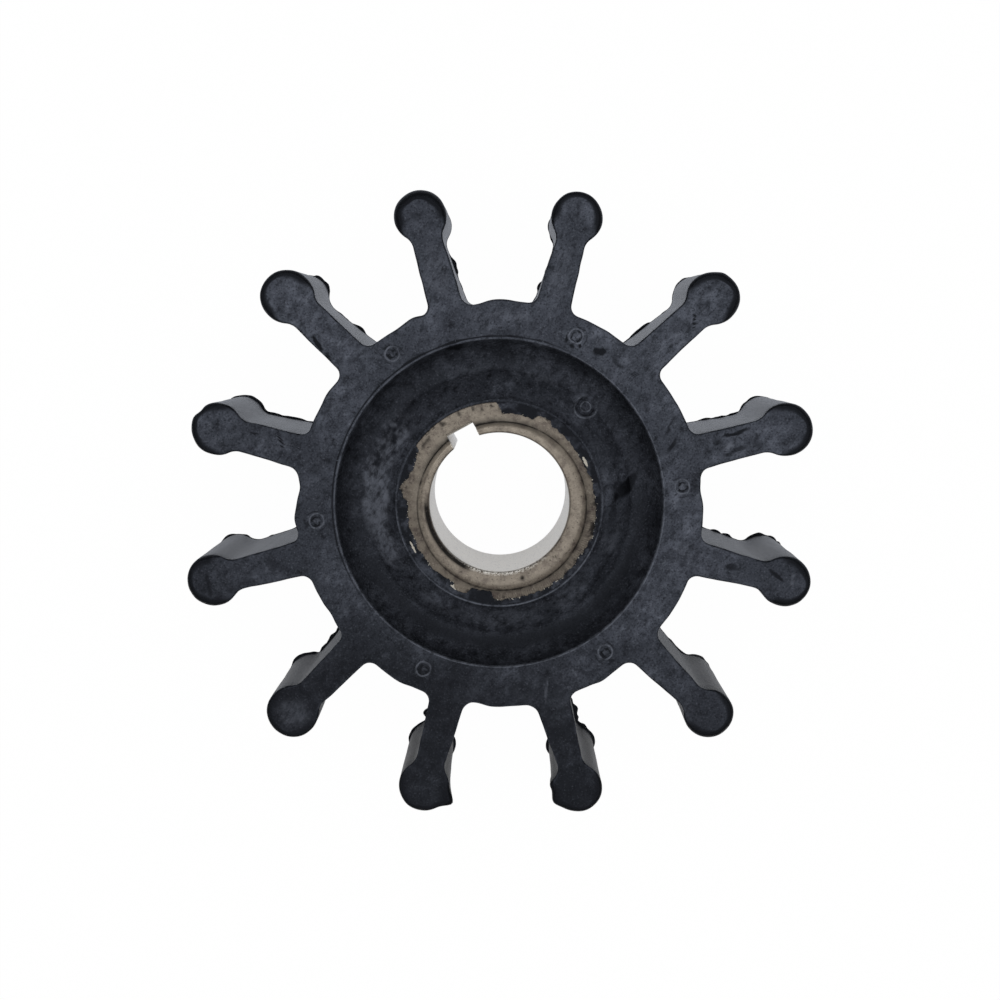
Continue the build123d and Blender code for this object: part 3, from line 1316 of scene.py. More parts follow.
    def add_dish(self, skin: Skin) -> None:
        """Adds both dishes and the seat of the bush: one profile, turned about the axis.

        Args:
            skin: gets the grid.
        """
        sizes = self.sizes
        front, back = self.front_profile(), self.back_profile()
        seat_height = np.linspace(sizes.bush_front, sizes.bush_back, 4)[1:-1]
        seat = np.stack([np.full(2, sizes.bush_radius), seat_height], axis=-1)
        line = np.concatenate([front, seat, back])
        face = np.r_[np.ones(len(front)), np.zeros(2), np.ones(len(back))]
        grid = polar(line[None, :, 0], self.outline.dish_angles[:, None], line[None, :, 1])
        face = np.broadcast_to(face, grid.shape[:2])
        skin.add(grid, wrap=True, face=face, dull=self.wear.dull(grid), stain=self.wear.stain(grid))


def dress(
    piece: bpy.types.Object, material: bpy.types.Material, replaces: str | None = None
) -> bpy.types.Object:
    """Gives a piece its material and its place in the frame.

    Args:
        piece: the new object.
        material: its only material.
        replaces: the CAD node that it stands for, or None for an added piece.

    Returns:
        The piece.
    """
    piece.data.materials.append(material)
    if replaces:
        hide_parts(replaces)
    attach(piece, "root")
    return piece


# --------------------------------------------------------------------------------------------------
# What the mould left
# --------------------------------------------------------------------------------------------------


@dataclass
class MouldFlashAndShade:
    """The ragged fin of rubber that squeezed out along the parting line, round the back outline.

    It is painted nearly black, partly as torn rubber and partly as painted shade for the contact
    shadow along the back edge.
    """

    sizes: ImpellerSizes
    wear: RubberWear
    material: bpy.types.Material
    # Tufts: x, y, reach along the outline, width
    tufts: tuple[Row, ...] = (
        (5.5, 30.0, 0.8, 0.6),
        (7.5, 39.0, 1.0, 0.3),
        (21.0, 23.0, 2.0, 0.5),
        (26.5, 30.5, 1.0, 0.3),
        (30.5, 10.0, 1.2, 0.3),
        (32.5, 10.4, 0.9, 0.35),
        (34.6, 11.0, 0.9, 0.3),
        (32.2, -6.6, 0.8, 0.35),
        (33.8, -7.1, 0.8, 0.4),
        (40.2, -8.0, 0.9, 0.35),
        (38.0, 12.5, 1.5, 0.3),
        (38.0, -7.0, 1.5, 0.4),
        (41.5, -9.0, 1.0, 0.4),
        (29.5, -25.5, 1.2, 0.3),
        (11.0, -34.0, 1.5, 0.8),
        (12.5, -35.5, 1.2, 0.6),
        (13.5, -37.5, 2.0, 0.5),
        (7.5, -39.0, 1.5, 0.5),
        (-11.0, -34.0, 0.8, 0.7),
        (-13.5, -36.5, 2.5, 0.4),
        (-7.0, -39.0, 1.6, 0.6),
        (-26.0, -24.5, 1.2, 0.5),
        (-25.0, -23.0, 1.5, 0.5),
        (-23.5, -21.5, 1.3, 0.5),
        (-30.0, -25.0, 2.5, 0.4),
        (-40.5, -8.5, 1.8, 0.4),
        (-42.0, 13.0, 2.5, 0.3),
        (-37.5, 12.0, 3.5, 0.4),
        (-32.0, 10.5, 3.5, 0.4),
        (-26.0, 30.5, 1.8, 0.6),
        (-21.0, 23.5, 1.2, 0.4),
        (-7.0, 33.0, 1.5, 0.6),
    )
    # Least width of the base, and how much noise adds
    base: tuple[float, float] = (0.04, 0.18)
    # The fin's root: distance inside the outline, lowest and highest Z
    root: tuple[float, float, float] = (0.35, 0.05, 0.42)
    # The tip's height, how much noise curls it, and its thickness below and above
    curl: tuple[float, float] = (0.22, 0.14)
    thickness: tuple[float, float] = (0.02, 0.10)

    def width(self, line: np.ndarray) -> np.ndarray:
        """How far the fin sticks out at each sample.

        Formula: a thin ragged base from noise above a threshold, plus one blunt dome per tuft,
        w sqrt(1 - (d / reach)^2), whose height is broken up by finer noise.

        Args:
            line: (samples, 2) points of the back outline.

        Returns:
            One width for each sample.
        """
        place = np.c_[line, np.zeros(len(line))]
        least, more = self.base
        width = least + more * np.clip(layered_noise(place, 1.8, 61), 0.1, 1.0)
        torn = 0.85 + 0.35 * lattice_noise(place, 0.9, 67)
        for x, y, reach, height in self.tufts:
            share = 1.0 - ((line[:, 0] - x) ** 2 + (line[:, 1] - y) ** 2) / reach**2
            width = np.maximum(width, height * np.sqrt(np.clip(share, 0.0, 1.0)) * torn)
        return width

    def build(self, outline: StarOutline) -> bpy.types.Object:
        """Builds the fin.

        Formula: a closed band of four lines round the outline, two inside the rubber and two along
        the tip, which noise curls up and down.

        Args:
            outline: the body's outline.

        Returns:
            The dressed fin.
        """
        line = outline.back
        inset, low, high = self.root
        height, swing = self.curl
        below, above = self.thickness
        curl = height + swing * lattice_noise(np.c_[line, np.zeros(len(line))], 1.4, 71)
        root = line - outline.normal * inset
        tip = line + outline.normal * self.width(line)[:, None]
        foot = np.full(len(line), low), np.full(len(line), high)
        band = ((root, foot[1]), (tip, curl + above), (tip, curl - below), (root, foot[0]), (root, foot[1]))
        skin = Skin("mould_flash_and_shade")
        # Painted nearly black: torn rubber, and painted shade for the contact shadow along the back edge
        skin.add(np.stack([np.c_[edge] for edge in band], axis=1), wrap=True, stain=1.6, face=0.6, dull=0.3)
        skin.points = [self.wear.moved(points) for points in skin.points]
        return dress(skin.build(sharp=50.0), self.material)


@dataclass
class GateMarks:
    """Six round gate scars on the front running face, and the two blank rings in the dish."""

    sizes: ImpellerSizes
    wear: RubberWear
    material: bpy.types.Material
    # How much of each gate's stub was left, clockwise from the top right
    gate_tears: tuple[float, ...] = (1.0, 0.55, 0.5, 0.4, 0.5, 0.55)
    # Radius of a gate's ring, its tube and how deep its middle lies
    gate_ring: tuple[float, float, float] = (0.98, 0.16, 0.10)
    # The blank rings: share of the outer one's radius, tube and depth
    blank_rings: tuple[Row, ...] = ((1.0, 0.15, 0.02), (0.45, 0.13, 0.06))
    # The slope of the dish's floor, and the radius where it would be level with the bush's end
    dish_fall: float = 0.69
    level_radius: float = 14.35
    around: int = 48
    section: int = 10

    def add_ring(self, skin: Skin, centre: Row, radius: float, tube: float, fall: float = 0.0) -> None:
        """Adds a ring that stands out of the face by part of its round section.

        Formula: a torus, radius + tube cos b around and tube sin b up, its radius uneven by noise,
        sheared down by fall for each millimetre farther from the shaft.

        Args:
            skin: gets the ring.
            centre: the ring's middle.
            radius: from the middle to the tube's middle.
            tube: the tube's radius.
            fall: slope of the face that it lies on.
        """
        around = np.linspace(0.0, FULL_TURN, self.around + 1)[:-1, None]
        section = np.linspace(0.0, FULL_TURN, self.section + 1)[None, :]
        rim = polar(np.ones(self.around), around[:, 0], 0.0) + centre
        uneven = 1.0 + 0.10 * lattice_noise(rim, 0.9, 91)[:, None]
        reach = radius * uneven + tube * np.cos(section)
        grid = polar(reach, around, tube * np.sin(section) * (0.8 + 0.4 * uneven)) + np.array(centre)
        grid[..., 2] -= fall * (plan_distance(grid) - math.hypot(*centre[:2]))
        # The ring's pale colour is partly painted highlight on its raised tube
        skin.add(grid, wrap=True, face=1.0, dull=self.wear.dull(grid), stain=-0.8)

    def add_stub(self, skin: Skin, centre: Row, radius: float, height: float, seed: int) -> None:
        """Adds the torn stub in the middle of a gate.

        Formula: a squashed ball whose radius swings strongly with noise, so that it looks torn.

        Args:
            skin: gets the stub.
            centre: the ball's middle.
            radius: its half width along x; it is a fifth less along y.
            height: its half height.
            seed: picks another tear.
        """
        around = np.linspace(0.0, FULL_TURN, 33)[:-1, None]
        down = np.linspace(0.0, math.pi, 13)[None, :]
        ball = polar(np.sin(down), around, np.cos(down) * np.ones_like(around))
        torn = 1.0 + 0.55 * lattice_noise(ball + seed, 0.55, 95)[..., None]
        grid = ball * torn * np.array([radius, radius * 0.8, height]) + np.array(centre)
        skin.add(grid, wrap=True, face=1.0, dull=self.wear.dull(grid), stain=-0.35)

    def build(self) -> bpy.types.Object:
        """Builds and dresses all scars as one piece.

        Returns:
            The piece.
        """
        sizes = self.sizes
        skin = Skin("gate_scars", weld=0.0005)
        radius, tube, sunk = self.gate_ring
        for number, ((x, y), tear) in enumerate(zip(gate_places(), self.gate_tears)):
            self.add_ring(skin, (x, y, sizes.width - sunk), radius, tube)
            stub = (x + 0.1, y, sizes.width - 0.05)
            self.add_stub(skin, stub, 0.35 + 0.3 * tear, 0.16 + 0.22 * tear, seed=3 * number)
        x, y, radius = BLANK_RING
        floor_z = sizes.bush_front - self.dish_fall * (math.hypot(x, y) - self.level_radius)
        for share, tube, sunk in self.blank_rings:
            self.add_ring(skin, (x, y, floor_z - sunk), radius * share, tube, self.dish_fall)
        return dress(skin.build(), self.material)


@dataclass
class TornFilm:
    """The thin skin of rubber left on the bush's end face, torn along its inner edge."""

    sizes: ImpellerSizes
    material: bpy.types.Material
    columns: int = 900
    thickness: float = 0.13
    # How far its lower side lies inside the metal, and its outer edge inside the lip
    under: float = 0.06
    tuck: float = 0.12
    narrow_radius: float = 13.15
    widest_radius: float = 13.85
    # Start and end clock angle of each stretch that tore elsewhere, and its inner radius
    stretches: tuple[Row, ...] = (
        (1.0, 23.0, 12.3),
        (33.0, 72.0, 12.6),
        (72.0, 90.0, 12.9),
        (102.0, 112.0, 13.4),
        (184.0, 199.0, 12.1),
        (209.0, 272.0, 12.5),
        (277.0, 281.0, 13.5),
        (284.0, 299.0, 12.7),
        (304.0, 359.0, 13.85),
    )
    # Clock angle by which a stretch fades in and out, and the radius where the tear's noise is read
    fade: float = 1.5
    noise_radius: float = 12.5
    # Cell and seed of the noises that make the tear ragged, and their height
    tears: tuple[Row, ...] = ((1.7, 31), (0.45, 35))
    tear_height: float = 0.12
    # Clock angle, radius, half angle, half radius of metal slivers that show through
    flakes: tuple[Row, ...] = (
        (64.0, 12.95, 3.6, 0.22),
        (243.0, 13.2, 4.5, 0.16),
        (30.5, 12.5, 2.0, 0.2),
        (207.0, 13.0, 4.0, 0.25),
    )

    def inner_radius(self, angle: np.ndarray) -> np.ndarray:
        """Radius of the torn edge.

        Formula: a narrow ring, moved in or out over each stretch by smooth steps of the clock angle,
        and two noises on top.

        Args:
            angle: counterclockwise from +X, in radians.

        Returns:
            One radius for each angle.
        """
        clock = (90.0 - np.degrees(angle)) % 360.0
        inner = np.full(self.columns, self.narrow_radius)
        for start, end, radius in self.stretches:
            share = window(clock, (start - self.fade, start + self.fade), (end - self.fade, end + self.fade))
            inner += (radius - self.narrow_radius) * share
        rim = polar(np.full(self.columns, self.noise_radius), angle, 0.0)
        inner += sum(self.tear_height * layered_noise(rim, cell, seed) for cell, seed in self.tears)
        return np.minimum(inner, self.widest_radius)

    def flake_marks(self, grid: np.ndarray, inner: np.ndarray) -> tuple[np.ndarray, np.ndarray]:
        """How far metal shows at each point.

        Formula: full inside a sliver's oval and nothing outside it by a smooth step, and a share that
        noise breaks up where the skin thins out at its torn edge.

        Args:
            grid: (columns, rows, 3) points of the band.
            inner: radius of the torn edge at each column.

        Returns:
            Two marks: the slivers alone, and with the thin edge.
        """
        turn, reach = clock_degrees(grid), plan_distance(grid)
        flake = np.zeros(grid.shape[:2])
        for at, middle, half_turn, half_reach in self.flakes:
            away = np.hypot((turn - at) / half_turn, (reach - middle) / half_reach)
            flake = np.maximum(flake, 1.0 - smooth_step(away, 0.7, 1.1))
        thin = 1.0 - smooth_step(reach - inner[:, None], 0.0, 0.55)
        return flake, np.maximum(flake, thin * (0.36 + 0.16 * layered_noise(grid, 0.8, 45)))

    def build(self) -> bpy.types.Object:
        """Builds and dresses the skin.

        Formula: a closed band that goes up the torn edge, out over the top, whose height swings with
        noise, and back below.

        Returns:
            The skin.
        """
        sizes = self.sizes
        angle = np.linspace(0.0, FULL_TURN, self.columns + 1)[:-1]
        inner = self.inner_radius(angle)
        outer = sizes.bush_radius + self.tuck
        share = np.linspace(0.0, 1.0, 12)[None, :]
        top_radius = inner[:, None] + (outer - inner[:, None]) * share
        place = polar(top_radius, angle[:, None], 0.0)
        top_z = sizes.bush_front + self.thickness * (1.0 + 0.3 * lattice_noise(place, 1.4, 33))
        low = np.full((self.columns, 1), sizes.bush_front - self.under)
        radius = np.concatenate([inner[:, None], top_radius, top_radius[:, -1:], inner[:, None]], axis=1)
        grid = polar(radius, angle[:, None], np.concatenate([low, top_z, low, low], axis=1))
        slivers, flake = self.flake_marks(grid, inner)
        stain = (0.6 + 0.9 * layered_noise(grid, 1.1, 39)) * (1.0 - slivers)
        skin = Skin("torn_rubber_film")
        skin.add(grid, wrap=True, face=0.7, dull=0.5, stain=stain, flake=flake)
        return dress(skin.build(sharp=50.0), self.material)


# --------------------------------------------------------------------------------------------------
# Metal bush
# --------------------------------------------------------------------------------------------------


@dataclass
class HubBush:
    """The turned metal bush with its keyed bore, whose mouth is hollowed and has a raised inner rim."""

    sizes: ImpellerSizes
    material: bpy.types.Material
    columns: int = 540
    slot_columns: int = 12
    # Radius and depth of points down the mouth: over the bevel and its ledge, the bend and foot of the
    # hollow cone, and the top of the raised inner rim, which then falls this much into the bore
    ledge: tuple[Row, ...] = ((11.6, 0.02), (11.5, 0.16), (11.45, 0.17))
    cone_bend: Row = (10.8, 1.22)
    cone_foot: Row = (10.15, 1.08)
    rim_top: Row = (9.80, 0.96)
    rim_fall: float = 0.9
    # The step was cut off centre: by how much in x and y, between which radii and above which heights
    step_shift: tuple[float, float] = (0.33, -0.42)
    shift_band: Band = ((10.2, 11.3), (11.75, 13.2))
    shift_in: Span = (20.0, 24.0)
    # The keyway's floor is worn outward by this much at the mouth, down to this depth
    key_wear: float = 0.25
    key_wear_depth: float = 0.8
    # Clock angle of the side that is painted paler, as painted highlight on the cone and the end face
    # above it, and that carries painted shade in the cone
    upper_clock: float = 350.0
    # Clock angles of the chatter marks, the rough inner rim, its painted glints and the painted shadow
    # crescent
    hatch_clock: Band = ((76.0, 92.0), (190.0, 205.0))
    rough_clock: Band = ((120.0, 160.0), (225.0, 255.0))
    rim_glint_clock: Band = ((130.0, 165.0), (205.0, 240.0))
    shadow_crescent_clock: Band = ((198.0, 212.0), (262.0, 278.0))
    # Radii of the chatter marks and of the cut cone
    hatch_band: Band = ((11.75, 12.0), (13.2, 13.6))
    cove_band: Band = ((9.65, 9.85), (11.2, 11.5))
    # Radius and width of the painted shadow line along the step, of the painted shadow crescent and
    # of the painted shade in the cone
    line: tuple[float, float] = (11.5, 0.12)
    shadow_crescent: tuple[float, float] = (9.97, 0.32)
    shade: tuple[float, float] = (10.95, 0.4)
    # Pits in the step: x, y, reach and amount
    pits: tuple[Row, ...] = ((3.15, -10.35, 0.28, 1.2), (-6.75, 8.75, 0.30, 1.0))
    bevel: float = 0.08

    def build(self) -> bpy.types.Object:
        """Builds and dresses the bush.

        Returns:
            The bush.
        """
        skin = Skin("keyed_bush")
        self.add_open_part(skin)
        self.add_closed_part(skin)
        skin.points = [self.settled(points) for points in skin.points]
        for name, mark in self.surface_marks(np.concatenate(skin.points)).items():
            skin.marks[name] = [mark]
        return dress(skin.build(sharp=38.0), self.material, replaces="hub_bush")

    @property
    def mouth_floor(self) -> float:
        """Distance of the keyway's floor from the axis at the end face, where it is worn open."""
        return self.sizes.key_floor + self.key_wear

    def corner_radius(self, floor: float) -> float:
        """Distance from the axis of the keyway's corners, whose floor is this far from the axis."""
        return math.hypot(floor, self.sizes.key_half)

    def settled(self, points: np.ndarray) -> np.ndarray:
        """Shifts the turned step off centre, as it was cut, and roughens the inner rim.

        Formula: the shift acts inside a window of radii, and the roughness is noise along Z under a
        bell curve of the radius.

        Args:
            points: (n, 3) ideal points in millimetres.

        Returns:
            The moved points.
        """
        radius = plan_distance(points)
        step = window(radius, *self.shift_band)
        front = smooth_step(points[:, 2], *self.shift_in)
        shift = np.zeros_like(points)
        for axis, move in enumerate(self.step_shift):
            shift[:, axis] = move * step * front
        low = window(clock_degrees(points), *self.rough_clock)
        rim = bell(radius - 9.75, 0.12) * front
        shift[:, 2] = rim * (0.03 + 0.09 * low) * layered_noise(points * [1.0, 1.0, 0.3], 0.35, 43)
        return points + shift

    def grime_and_shade_mark(self, points: np.ndarray) -> np.ndarray:
        """Dirt and painted shade on the front end face, from 0 to 1.

        Formula: bell curves of the distance from the step's line, from the cone's lower left and from
        the cone's upper foot, which are painted shade, and from each pit, and noise above a threshold
        near the outside, with painted shade on the lower side there.

        Args:
            points: (n, 3) places in millimetres.

        Returns:
            One value for each point.
        """
        radius, clock = plan_distance(points), clock_degrees(points)
        noise = layered_noise(points, 0.7, 47)
        rings = (self.line, self.shadow_crescent, self.shade)
        from_step = plan_distance(points, *self.step_shift)
        line, shadow_crescent, shade = (
            bell(away - middle, width) for away, (middle, width) in zip((from_step, radius, radius), rings)
        )
        # Painted shadow under the step's edge, a painted shadow crescent on the cone's lower left and painted
        # shade on its upper side
        line = line * (0.75 + 0.35 * noise)
        shadow_crescent = 1.6 * shadow_crescent * window(clock, *self.shadow_crescent_clock)
        pits = sum(amount * bell(plan_distance(points, x, y), reach) for x, y, reach, amount in self.pits)
        upper = facing(points, self.upper_clock, 0.2, 1.0)
        shade = 0.6 * upper * shade
        smut_and_shade = smooth_step(radius, 12.2, 13.2) * smooth_step(layered_noise(points, 0.6, 53), 0.15, 0.5)
        # Painted shade: darker on the lower side just outside the step
        smut_and_shade = 0.8 * smut_and_shade + 0.2 * (1.0 - upper) * smooth_step(radius, 11.6, 12.1)
        return np.clip(line + shadow_crescent + pits + shade + smut_and_shade, 0.0, 1.0)

    def surface_marks(self, points: np.ndarray) -> dict[str, np.ndarray]:
        """Works out which finish, painted shade and painted highlight each point has.

        Formula: products of smooth steps of the radius, the clock angle and the depth below the front
        end face. The keyway's walls and floor count as bore.

        Args:
            points: (n, 3) places in millimetres.

        Returns:
            The marks grime, hatch, bore, burr and cove.
        """
        sizes = self.sizes
        radius, clock = plan_distance(points), clock_degrees(points)
        depth = sizes.bush_front - points[:, 2]
        front = 1.0 - smooth_step(depth, 2.0, 4.0)
        upper = facing(points, self.upper_clock, 0.2, 1.0)
        hatch = window(clock, *self.hatch_clock) * window(radius, *self.hatch_band)
        across = turned(points[:, :2], math.pi / 2.0 - sizes.key_angle)
        in_slot = (np.abs(across[:, 0]) < sizes.key_half + 0.02) & (across[:, 1] > sizes.bore_radius - 0.125)
        in_bore = smooth_step(depth, 1.2, 1.8) * (1.0 - smooth_step(radius, 9.56, 9.75))
        # Painted glints on the inner rim
        burr = bell(radius - 9.70, 0.13) * window(clock, *self.rim_glint_clock)
        # Paler cut metal in the cone; paler still on the upper side, and on the end face above it, as painted
        # highlight
        cove = window(radius, *self.cove_band) * (0.55 + 0.45 * upper)
        cove += 0.4 * upper * smooth_step(radius, 11.6, 11.9)
        marks = {"grime": self.grime_and_shade_mark(points), "hatch": hatch, "burr": burr, "cove": cove}
        marks = {name: front * mark for name, mark in marks.items()}
        return marks | {"bore": np.maximum(in_bore, in_slot * smooth_step(depth, 0.1, 0.5))}

    def mouth(self, floor: float) -> np.ndarray:
        """Radius and depth below an end face, from the keyway's corner down into the bore.

        Formula: a bevel down to a narrow ledge, a quadratic Bezier for the hollow cone, and a quarter
        of an ellipse for the rounded inner rim, which falls away into the bore.

        Args:
            floor: distance of the keyway's floor from the axis at that end.

        Returns:
            (samples, 2) radii and depths.
        """
        sizes = self.sizes
        ledge = np.array([(self.corner_radius(floor), 0.0), *self.ledge])
        cone = bezier(ledge[-1], np.array(self.cone_bend), np.array(self.cone_foot), 10)
        turn = np.linspace(0.0, math.pi / 2.0, 8)[:, None]
        quarter = np.hstack([-np.sin(turn), 1.0 - np.cos(turn)])
        rim = self.rim_top + quarter * [self.rim_top[0] - sizes.bore_radius, self.rim_fall]
        return np.concatenate([ledge, cone, rim])

    def profile(self) -> np.ndarray:
        """Radius and height from the keyway's front corner to its back one: mouth, bore and mouth.

        Returns:
            (samples, 2) radii and heights.
        """
        sizes = self.sizes
        front, back = self.mouth(self.mouth_floor), self.mouth(sizes.key_floor)[::-1]
        front = np.stack([front[:, 0], sizes.bush_front - front[:, 1]], axis=-1)
        back = np.stack([back[:, 0], sizes.bush_back + back[:, 1]], axis=-1)
        bore_z = np.linspace(front[-1, 1], back[0, 1], 16)[1:-1]
        return np.concatenate([front, np.stack([np.full(14, sizes.bore_radius), bore_z], axis=-1), back])

    def around(self, floor: np.ndarray) -> np.ndarray:
        """Angles round the bore from one keyway corner to the other, one row for each floor.

        Formula: even steps from the key angle plus arctan(half width / floor) right round to it again.

        Args:
            floor: distances of the keyway's floor from the axis.

        Returns:
            (floors, columns) angles.
        """
        half = np.arctan(self.sizes.key_half / floor)[:, None]
        return self.sizes.key_angle + half + np.linspace(0.0, 1.0, self.columns) * (FULL_TURN - 2.0 * half)

    def across(self, floor: np.ndarray) -> np.ndarray:
        """Even angles across the keyway's floor from corner to corner, one row for each floor."""
        half = np.arctan(self.sizes.key_half / floor)[:, None]
        return self.sizes.key_angle + half * np.linspace(-1.0, 1.0, self.slot_columns)

    def add_open_part(self, skin: Skin) -> None:
        """Adds the part that the keyway cuts through, with the keyway's walls and floor.

        Formula: a row at radius r runs from the keyway's one wall to the other, so its angles start
        at the key angle plus arcsin(half width / r). The walls are ruled from that edge to the floor.

        Args:
            skin: gets the grids.
        """
        sizes = self.sizes
        radius, height = self.profile().T
        grid = polar(radius[:, None], self.around(np.sqrt(radius**2 - sizes.key_half**2)), height[:, None])
        skin.add(grid)
        fall = (sizes.bush_front - sizes.bush_back) * np.linspace(0.0, 1.0, len(radius)) ** 2
        floor_z = sizes.bush_front - fall
        worn = 1.0 - smooth_step(fall, 0.0, self.key_wear_depth)
        reach = sizes.key_floor + self.key_wear * worn
        across = self.across(reach)
        floor = polar(reach[:, None] / np.cos(across - sizes.key_angle), across, floor_z[:, None])
        skin.add(floor)
        for edge, foot in ((grid[:, 0], floor[:, -1]), (grid[:, -1], floor[:, 0])):
            steps = np.linspace(0.0, 1.0, 4)[None, :, None]
            skin.add(edge[:, None, :] * (1.0 - steps) + foot[:, None, :] * steps)

    def end_ring(self, floor: float, outer: float) -> tuple[np.ndarray, np.ndarray]:
        """Radii and angles of an end face outside the keyway.

        Formula: even steps of radius from a circle through the keyway's corners, with a chord for its
        floor, out to the outside.

        Args:
            floor: distance of the keyway's floor from the axis at this end.
            outer: radius of the ring's outside.

        Returns:
            Radii, and one angle for each of their rows.
        """
        across = self.across(np.array([floor]))[0, 1:-1]
        chord = floor / np.cos(across - self.sizes.key_angle)
        start = np.r_[np.full(self.columns, self.corner_radius(floor)), chord]
        radius = start[:, None] + (outer - start[:, None]) * np.linspace(0.0, 1.0, 10)[None, :]
        return radius, np.r_[self.around(np.array([floor]))[0], across]

    def add_closed_part(self, skin: Skin) -> None:
        """Adds both end rings outside the keyway and the round outside of the bush.

        Formula: radii grow from the keyway's outline to the outside radius, on the same angles as
        the open part, which turn evenly from the front ring's to the back ring's down the outside.

        Args:
            skin: gets the grid.
        """
        sizes, bevel = self.sizes, self.bevel
        front, front_angles = self.end_ring(self.mouth_floor, sizes.bush_radius - bevel)
        back, back_angles = self.end_ring(sizes.key_floor, sizes.bush_radius - bevel)
        down = np.linspace(0.0, 1.0, 5) * np.ones((len(front), 1))
        ends = np.ones(front.shape)
        radius = np.concatenate([front, np.full(down.shape, sizes.bush_radius), back[:, ::-1]], axis=1)
        share = np.concatenate([0.0 * ends, down, ends], axis=1)
        angle = front_angles[:, None] * (1.0 - share) + back_angles[:, None] * share
        outside_z = sizes.bush_front - bevel - (sizes.bush_front - sizes.bush_back - 2.0 * bevel) * down
        height = np.concatenate([sizes.bush_front * ends, outside_z, sizes.bush_back * ends], axis=1)
        skin.add(polar(radius, angle, height), wrap=True)


# --------------------------------------------------------------------------------------------------
# Studio
# --------------------------------------------------------------------------------------------------


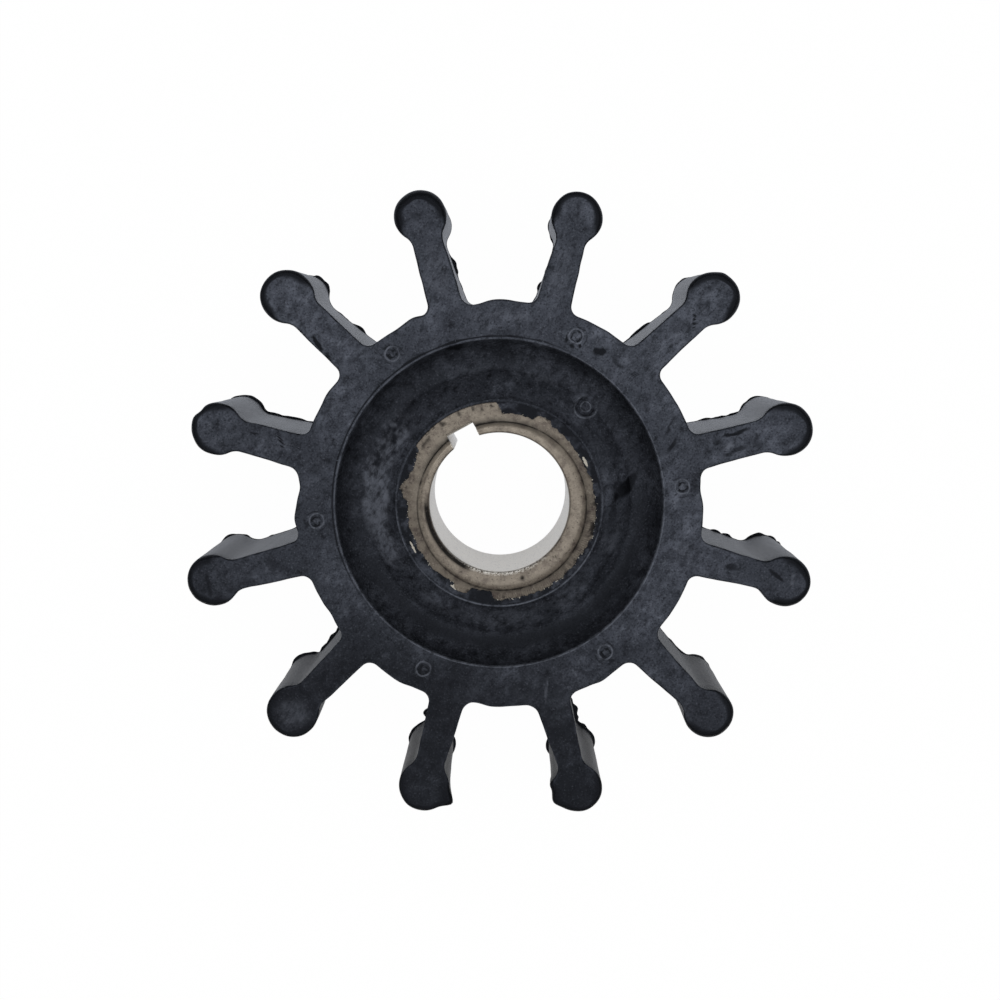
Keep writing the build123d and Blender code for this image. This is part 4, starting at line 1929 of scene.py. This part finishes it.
@dataclass(frozen=True)
class Studio:
    """White floor, soft light and the camera, which looks down on the front running face."""

    sizes: ImpellerSizes
    camera_place: tuple[float, float, float] = (1.3, 25.5, 288.0)
    camera_turn: tuple[float, float, float] = (-0.08653, 0.00418, 0.0)
    focal_pixels: float = 2134.1
    frame_pixels: float = 1000.0
    sensor_mm: float = 36.0
    near_mm: float = 10.0
    # Strength of the room's light, and the share of the floor's own white in what the camera sees
    sky: float = 0.42
    floor_own_light: float = 0.985
    paper: str = "#f4f4f4"
    mirrored_paper: str = "#ebf0fa"
    white: str = "#ffffff"
    # The floor's shine in gloss falls from near to far between these two places on Y, in millimetres
    floor_gloss_ramp: tuple[float, float] = (20.0, -46.0)
    floor_gloss_near: float = 1.0
    floor_gloss_far: float = 0.04
    floor_half_m: float = 1.5
    # Place and width of the overhead lamp in metres, and its power in watts
    lamp_place: tuple[float, float, float] = (0.05, 0.02, 0.95)
    lamp_width: float = 1.0
    lamp_power: float = 6.5

    def add_camera(self) -> None:
        """Adds the camera; its place is measured from the middle of the front running face."""
        data = bpy.data.cameras.new("camera")
        data.sensor_width = self.sensor_mm
        data.lens = self.focal_pixels / self.frame_pixels * self.sensor_mm
        data.clip_start = self.near_mm * MM
        camera = bpy.data.objects.new("camera", data)
        x, y, z = self.camera_place
        camera.location = (x * MM, y * MM, (self.sizes.width + z) * MM)
        camera.rotation_mode = "ZXY"
        camera.rotation_euler = self.camera_turn
        bpy.context.scene.collection.objects.link(camera)
        bpy.context.scene.camera = camera

    def add_floor(self) -> None:
        """Adds the floor.

        Formula: the camera sees it as white that gives its own light, so do gloss and glass, but less
        and less towards -Y, and to all other light it is plain pale paper.
        """
        material, tree = new_material("floor_white")
        node = partial(add_node, tree)
        rays = node("LightPath").node.outputs
        camera = rays["Is Camera Ray"]
        _, y, _ = node("SeparateXYZ", (millimetres(tree),)).node.outputs
        start, end = self.floor_gloss_ramp
        mirrored = node("Math", (rays["Is Glossy Ray"], rays["Is Transmission Ray"]), operation="MAXIMUM")
        mirrored = product(tree, mirrored, (y, end, start, self.floor_gloss_far, self.floor_gloss_near))
        seen = node("Math", (product(tree, camera, self.floor_own_light), mirrored), operation="MAXIMUM")
        paper = node("BsdfDiffuse", {"Color": colour(self.paper)})
        shown = paint(tree, colour(self.mirrored_paper), (self.white, camera))
        light = node("Emission", {"Color": shown, "Strength": 1.0})
        node("OutputMaterial", {"Surface": node("MixShader", (seen, paper, light))})
        half = self.floor_half_m
        mesh = bpy.data.meshes.new("floor")
        square = [(-half, -half, 0.0), (half, -half, 0.0), (half, half, 0.0), (-half, half, 0.0)]
        mesh.from_pydata(square, [], [(0, 1, 2, 3)])
        mesh.materials.append(material)
        floor = bpy.data.objects.new("floor", mesh)
        bpy.context.scene.collection.objects.link(floor)

    def add_lamp(self) -> None:
        """Adds the square soft lamp, aimed at the impeller's middle."""
        data = bpy.data.lights.new("overhead_lamp", "AREA")
        data.size = self.lamp_width
        data.energy = self.lamp_power
        lamp = bpy.data.objects.new("overhead_lamp", data)
        lamp.location = self.lamp_place
        aim = -lamp.location.normalized()
        lamp.rotation_mode = "QUATERNION"
        lamp.rotation_quaternion = aim.to_track_quat("-Z", "Y")
        bpy.context.scene.collection.objects.link(lamp)

    def add_sky(self) -> None:
        """Adds the even room light, which the camera sees as white behind the floor."""
        world = bpy.data.worlds.new("room")
        world.use_nodes = True
        tree = world.node_tree
        tree.nodes.clear()
        camera = add_node(tree, "LightPath", out="Is Camera Ray")
        level = add_node(tree, "Math", (camera, self.sky), operation="MAXIMUM")
        back = add_node(tree, "Background", {"Color": colour(self.white), "Strength": level})
        add_node(tree, "OutputWorld", {"Surface": back})
        bpy.context.scene.world = world

    def build(self) -> None:
        """Adds everything that isn't the impeller."""
        self.add_camera()
        self.add_floor()
        self.add_lamp()
        self.add_sky()
        bpy.context.scene.view_settings.view_transform = "Standard"


def main() -> None:
    """Builds the impeller's pieces and its studio."""
    logging.basicConfig(level=logging.INFO, format="%(name)s: %(message)s")
    sizes = ImpellerSizes()
    rubber = MouldedRubber().build()
    metal = TurnedBush().build()
    wear = RubberWear(sizes)
    body = RubberBody(sizes, wear, rubber)
    pieces = [body.build(), HubBush(sizes, metal).build(), TornFilm(sizes, rubber).build()]
    pieces += [MouldFlashAndShade(sizes, wear, rubber).build(body.outline), GateMarks(sizes, wear, rubber).build()]
    for piece in pieces:
        triangles = sum(len(face.vertices) - 2 for face in piece.data.polygons)
        log.info("%s: %d triangles", piece.name, triangles)
    Studio(sizes).build()


if __name__ == "__main__":
    main()
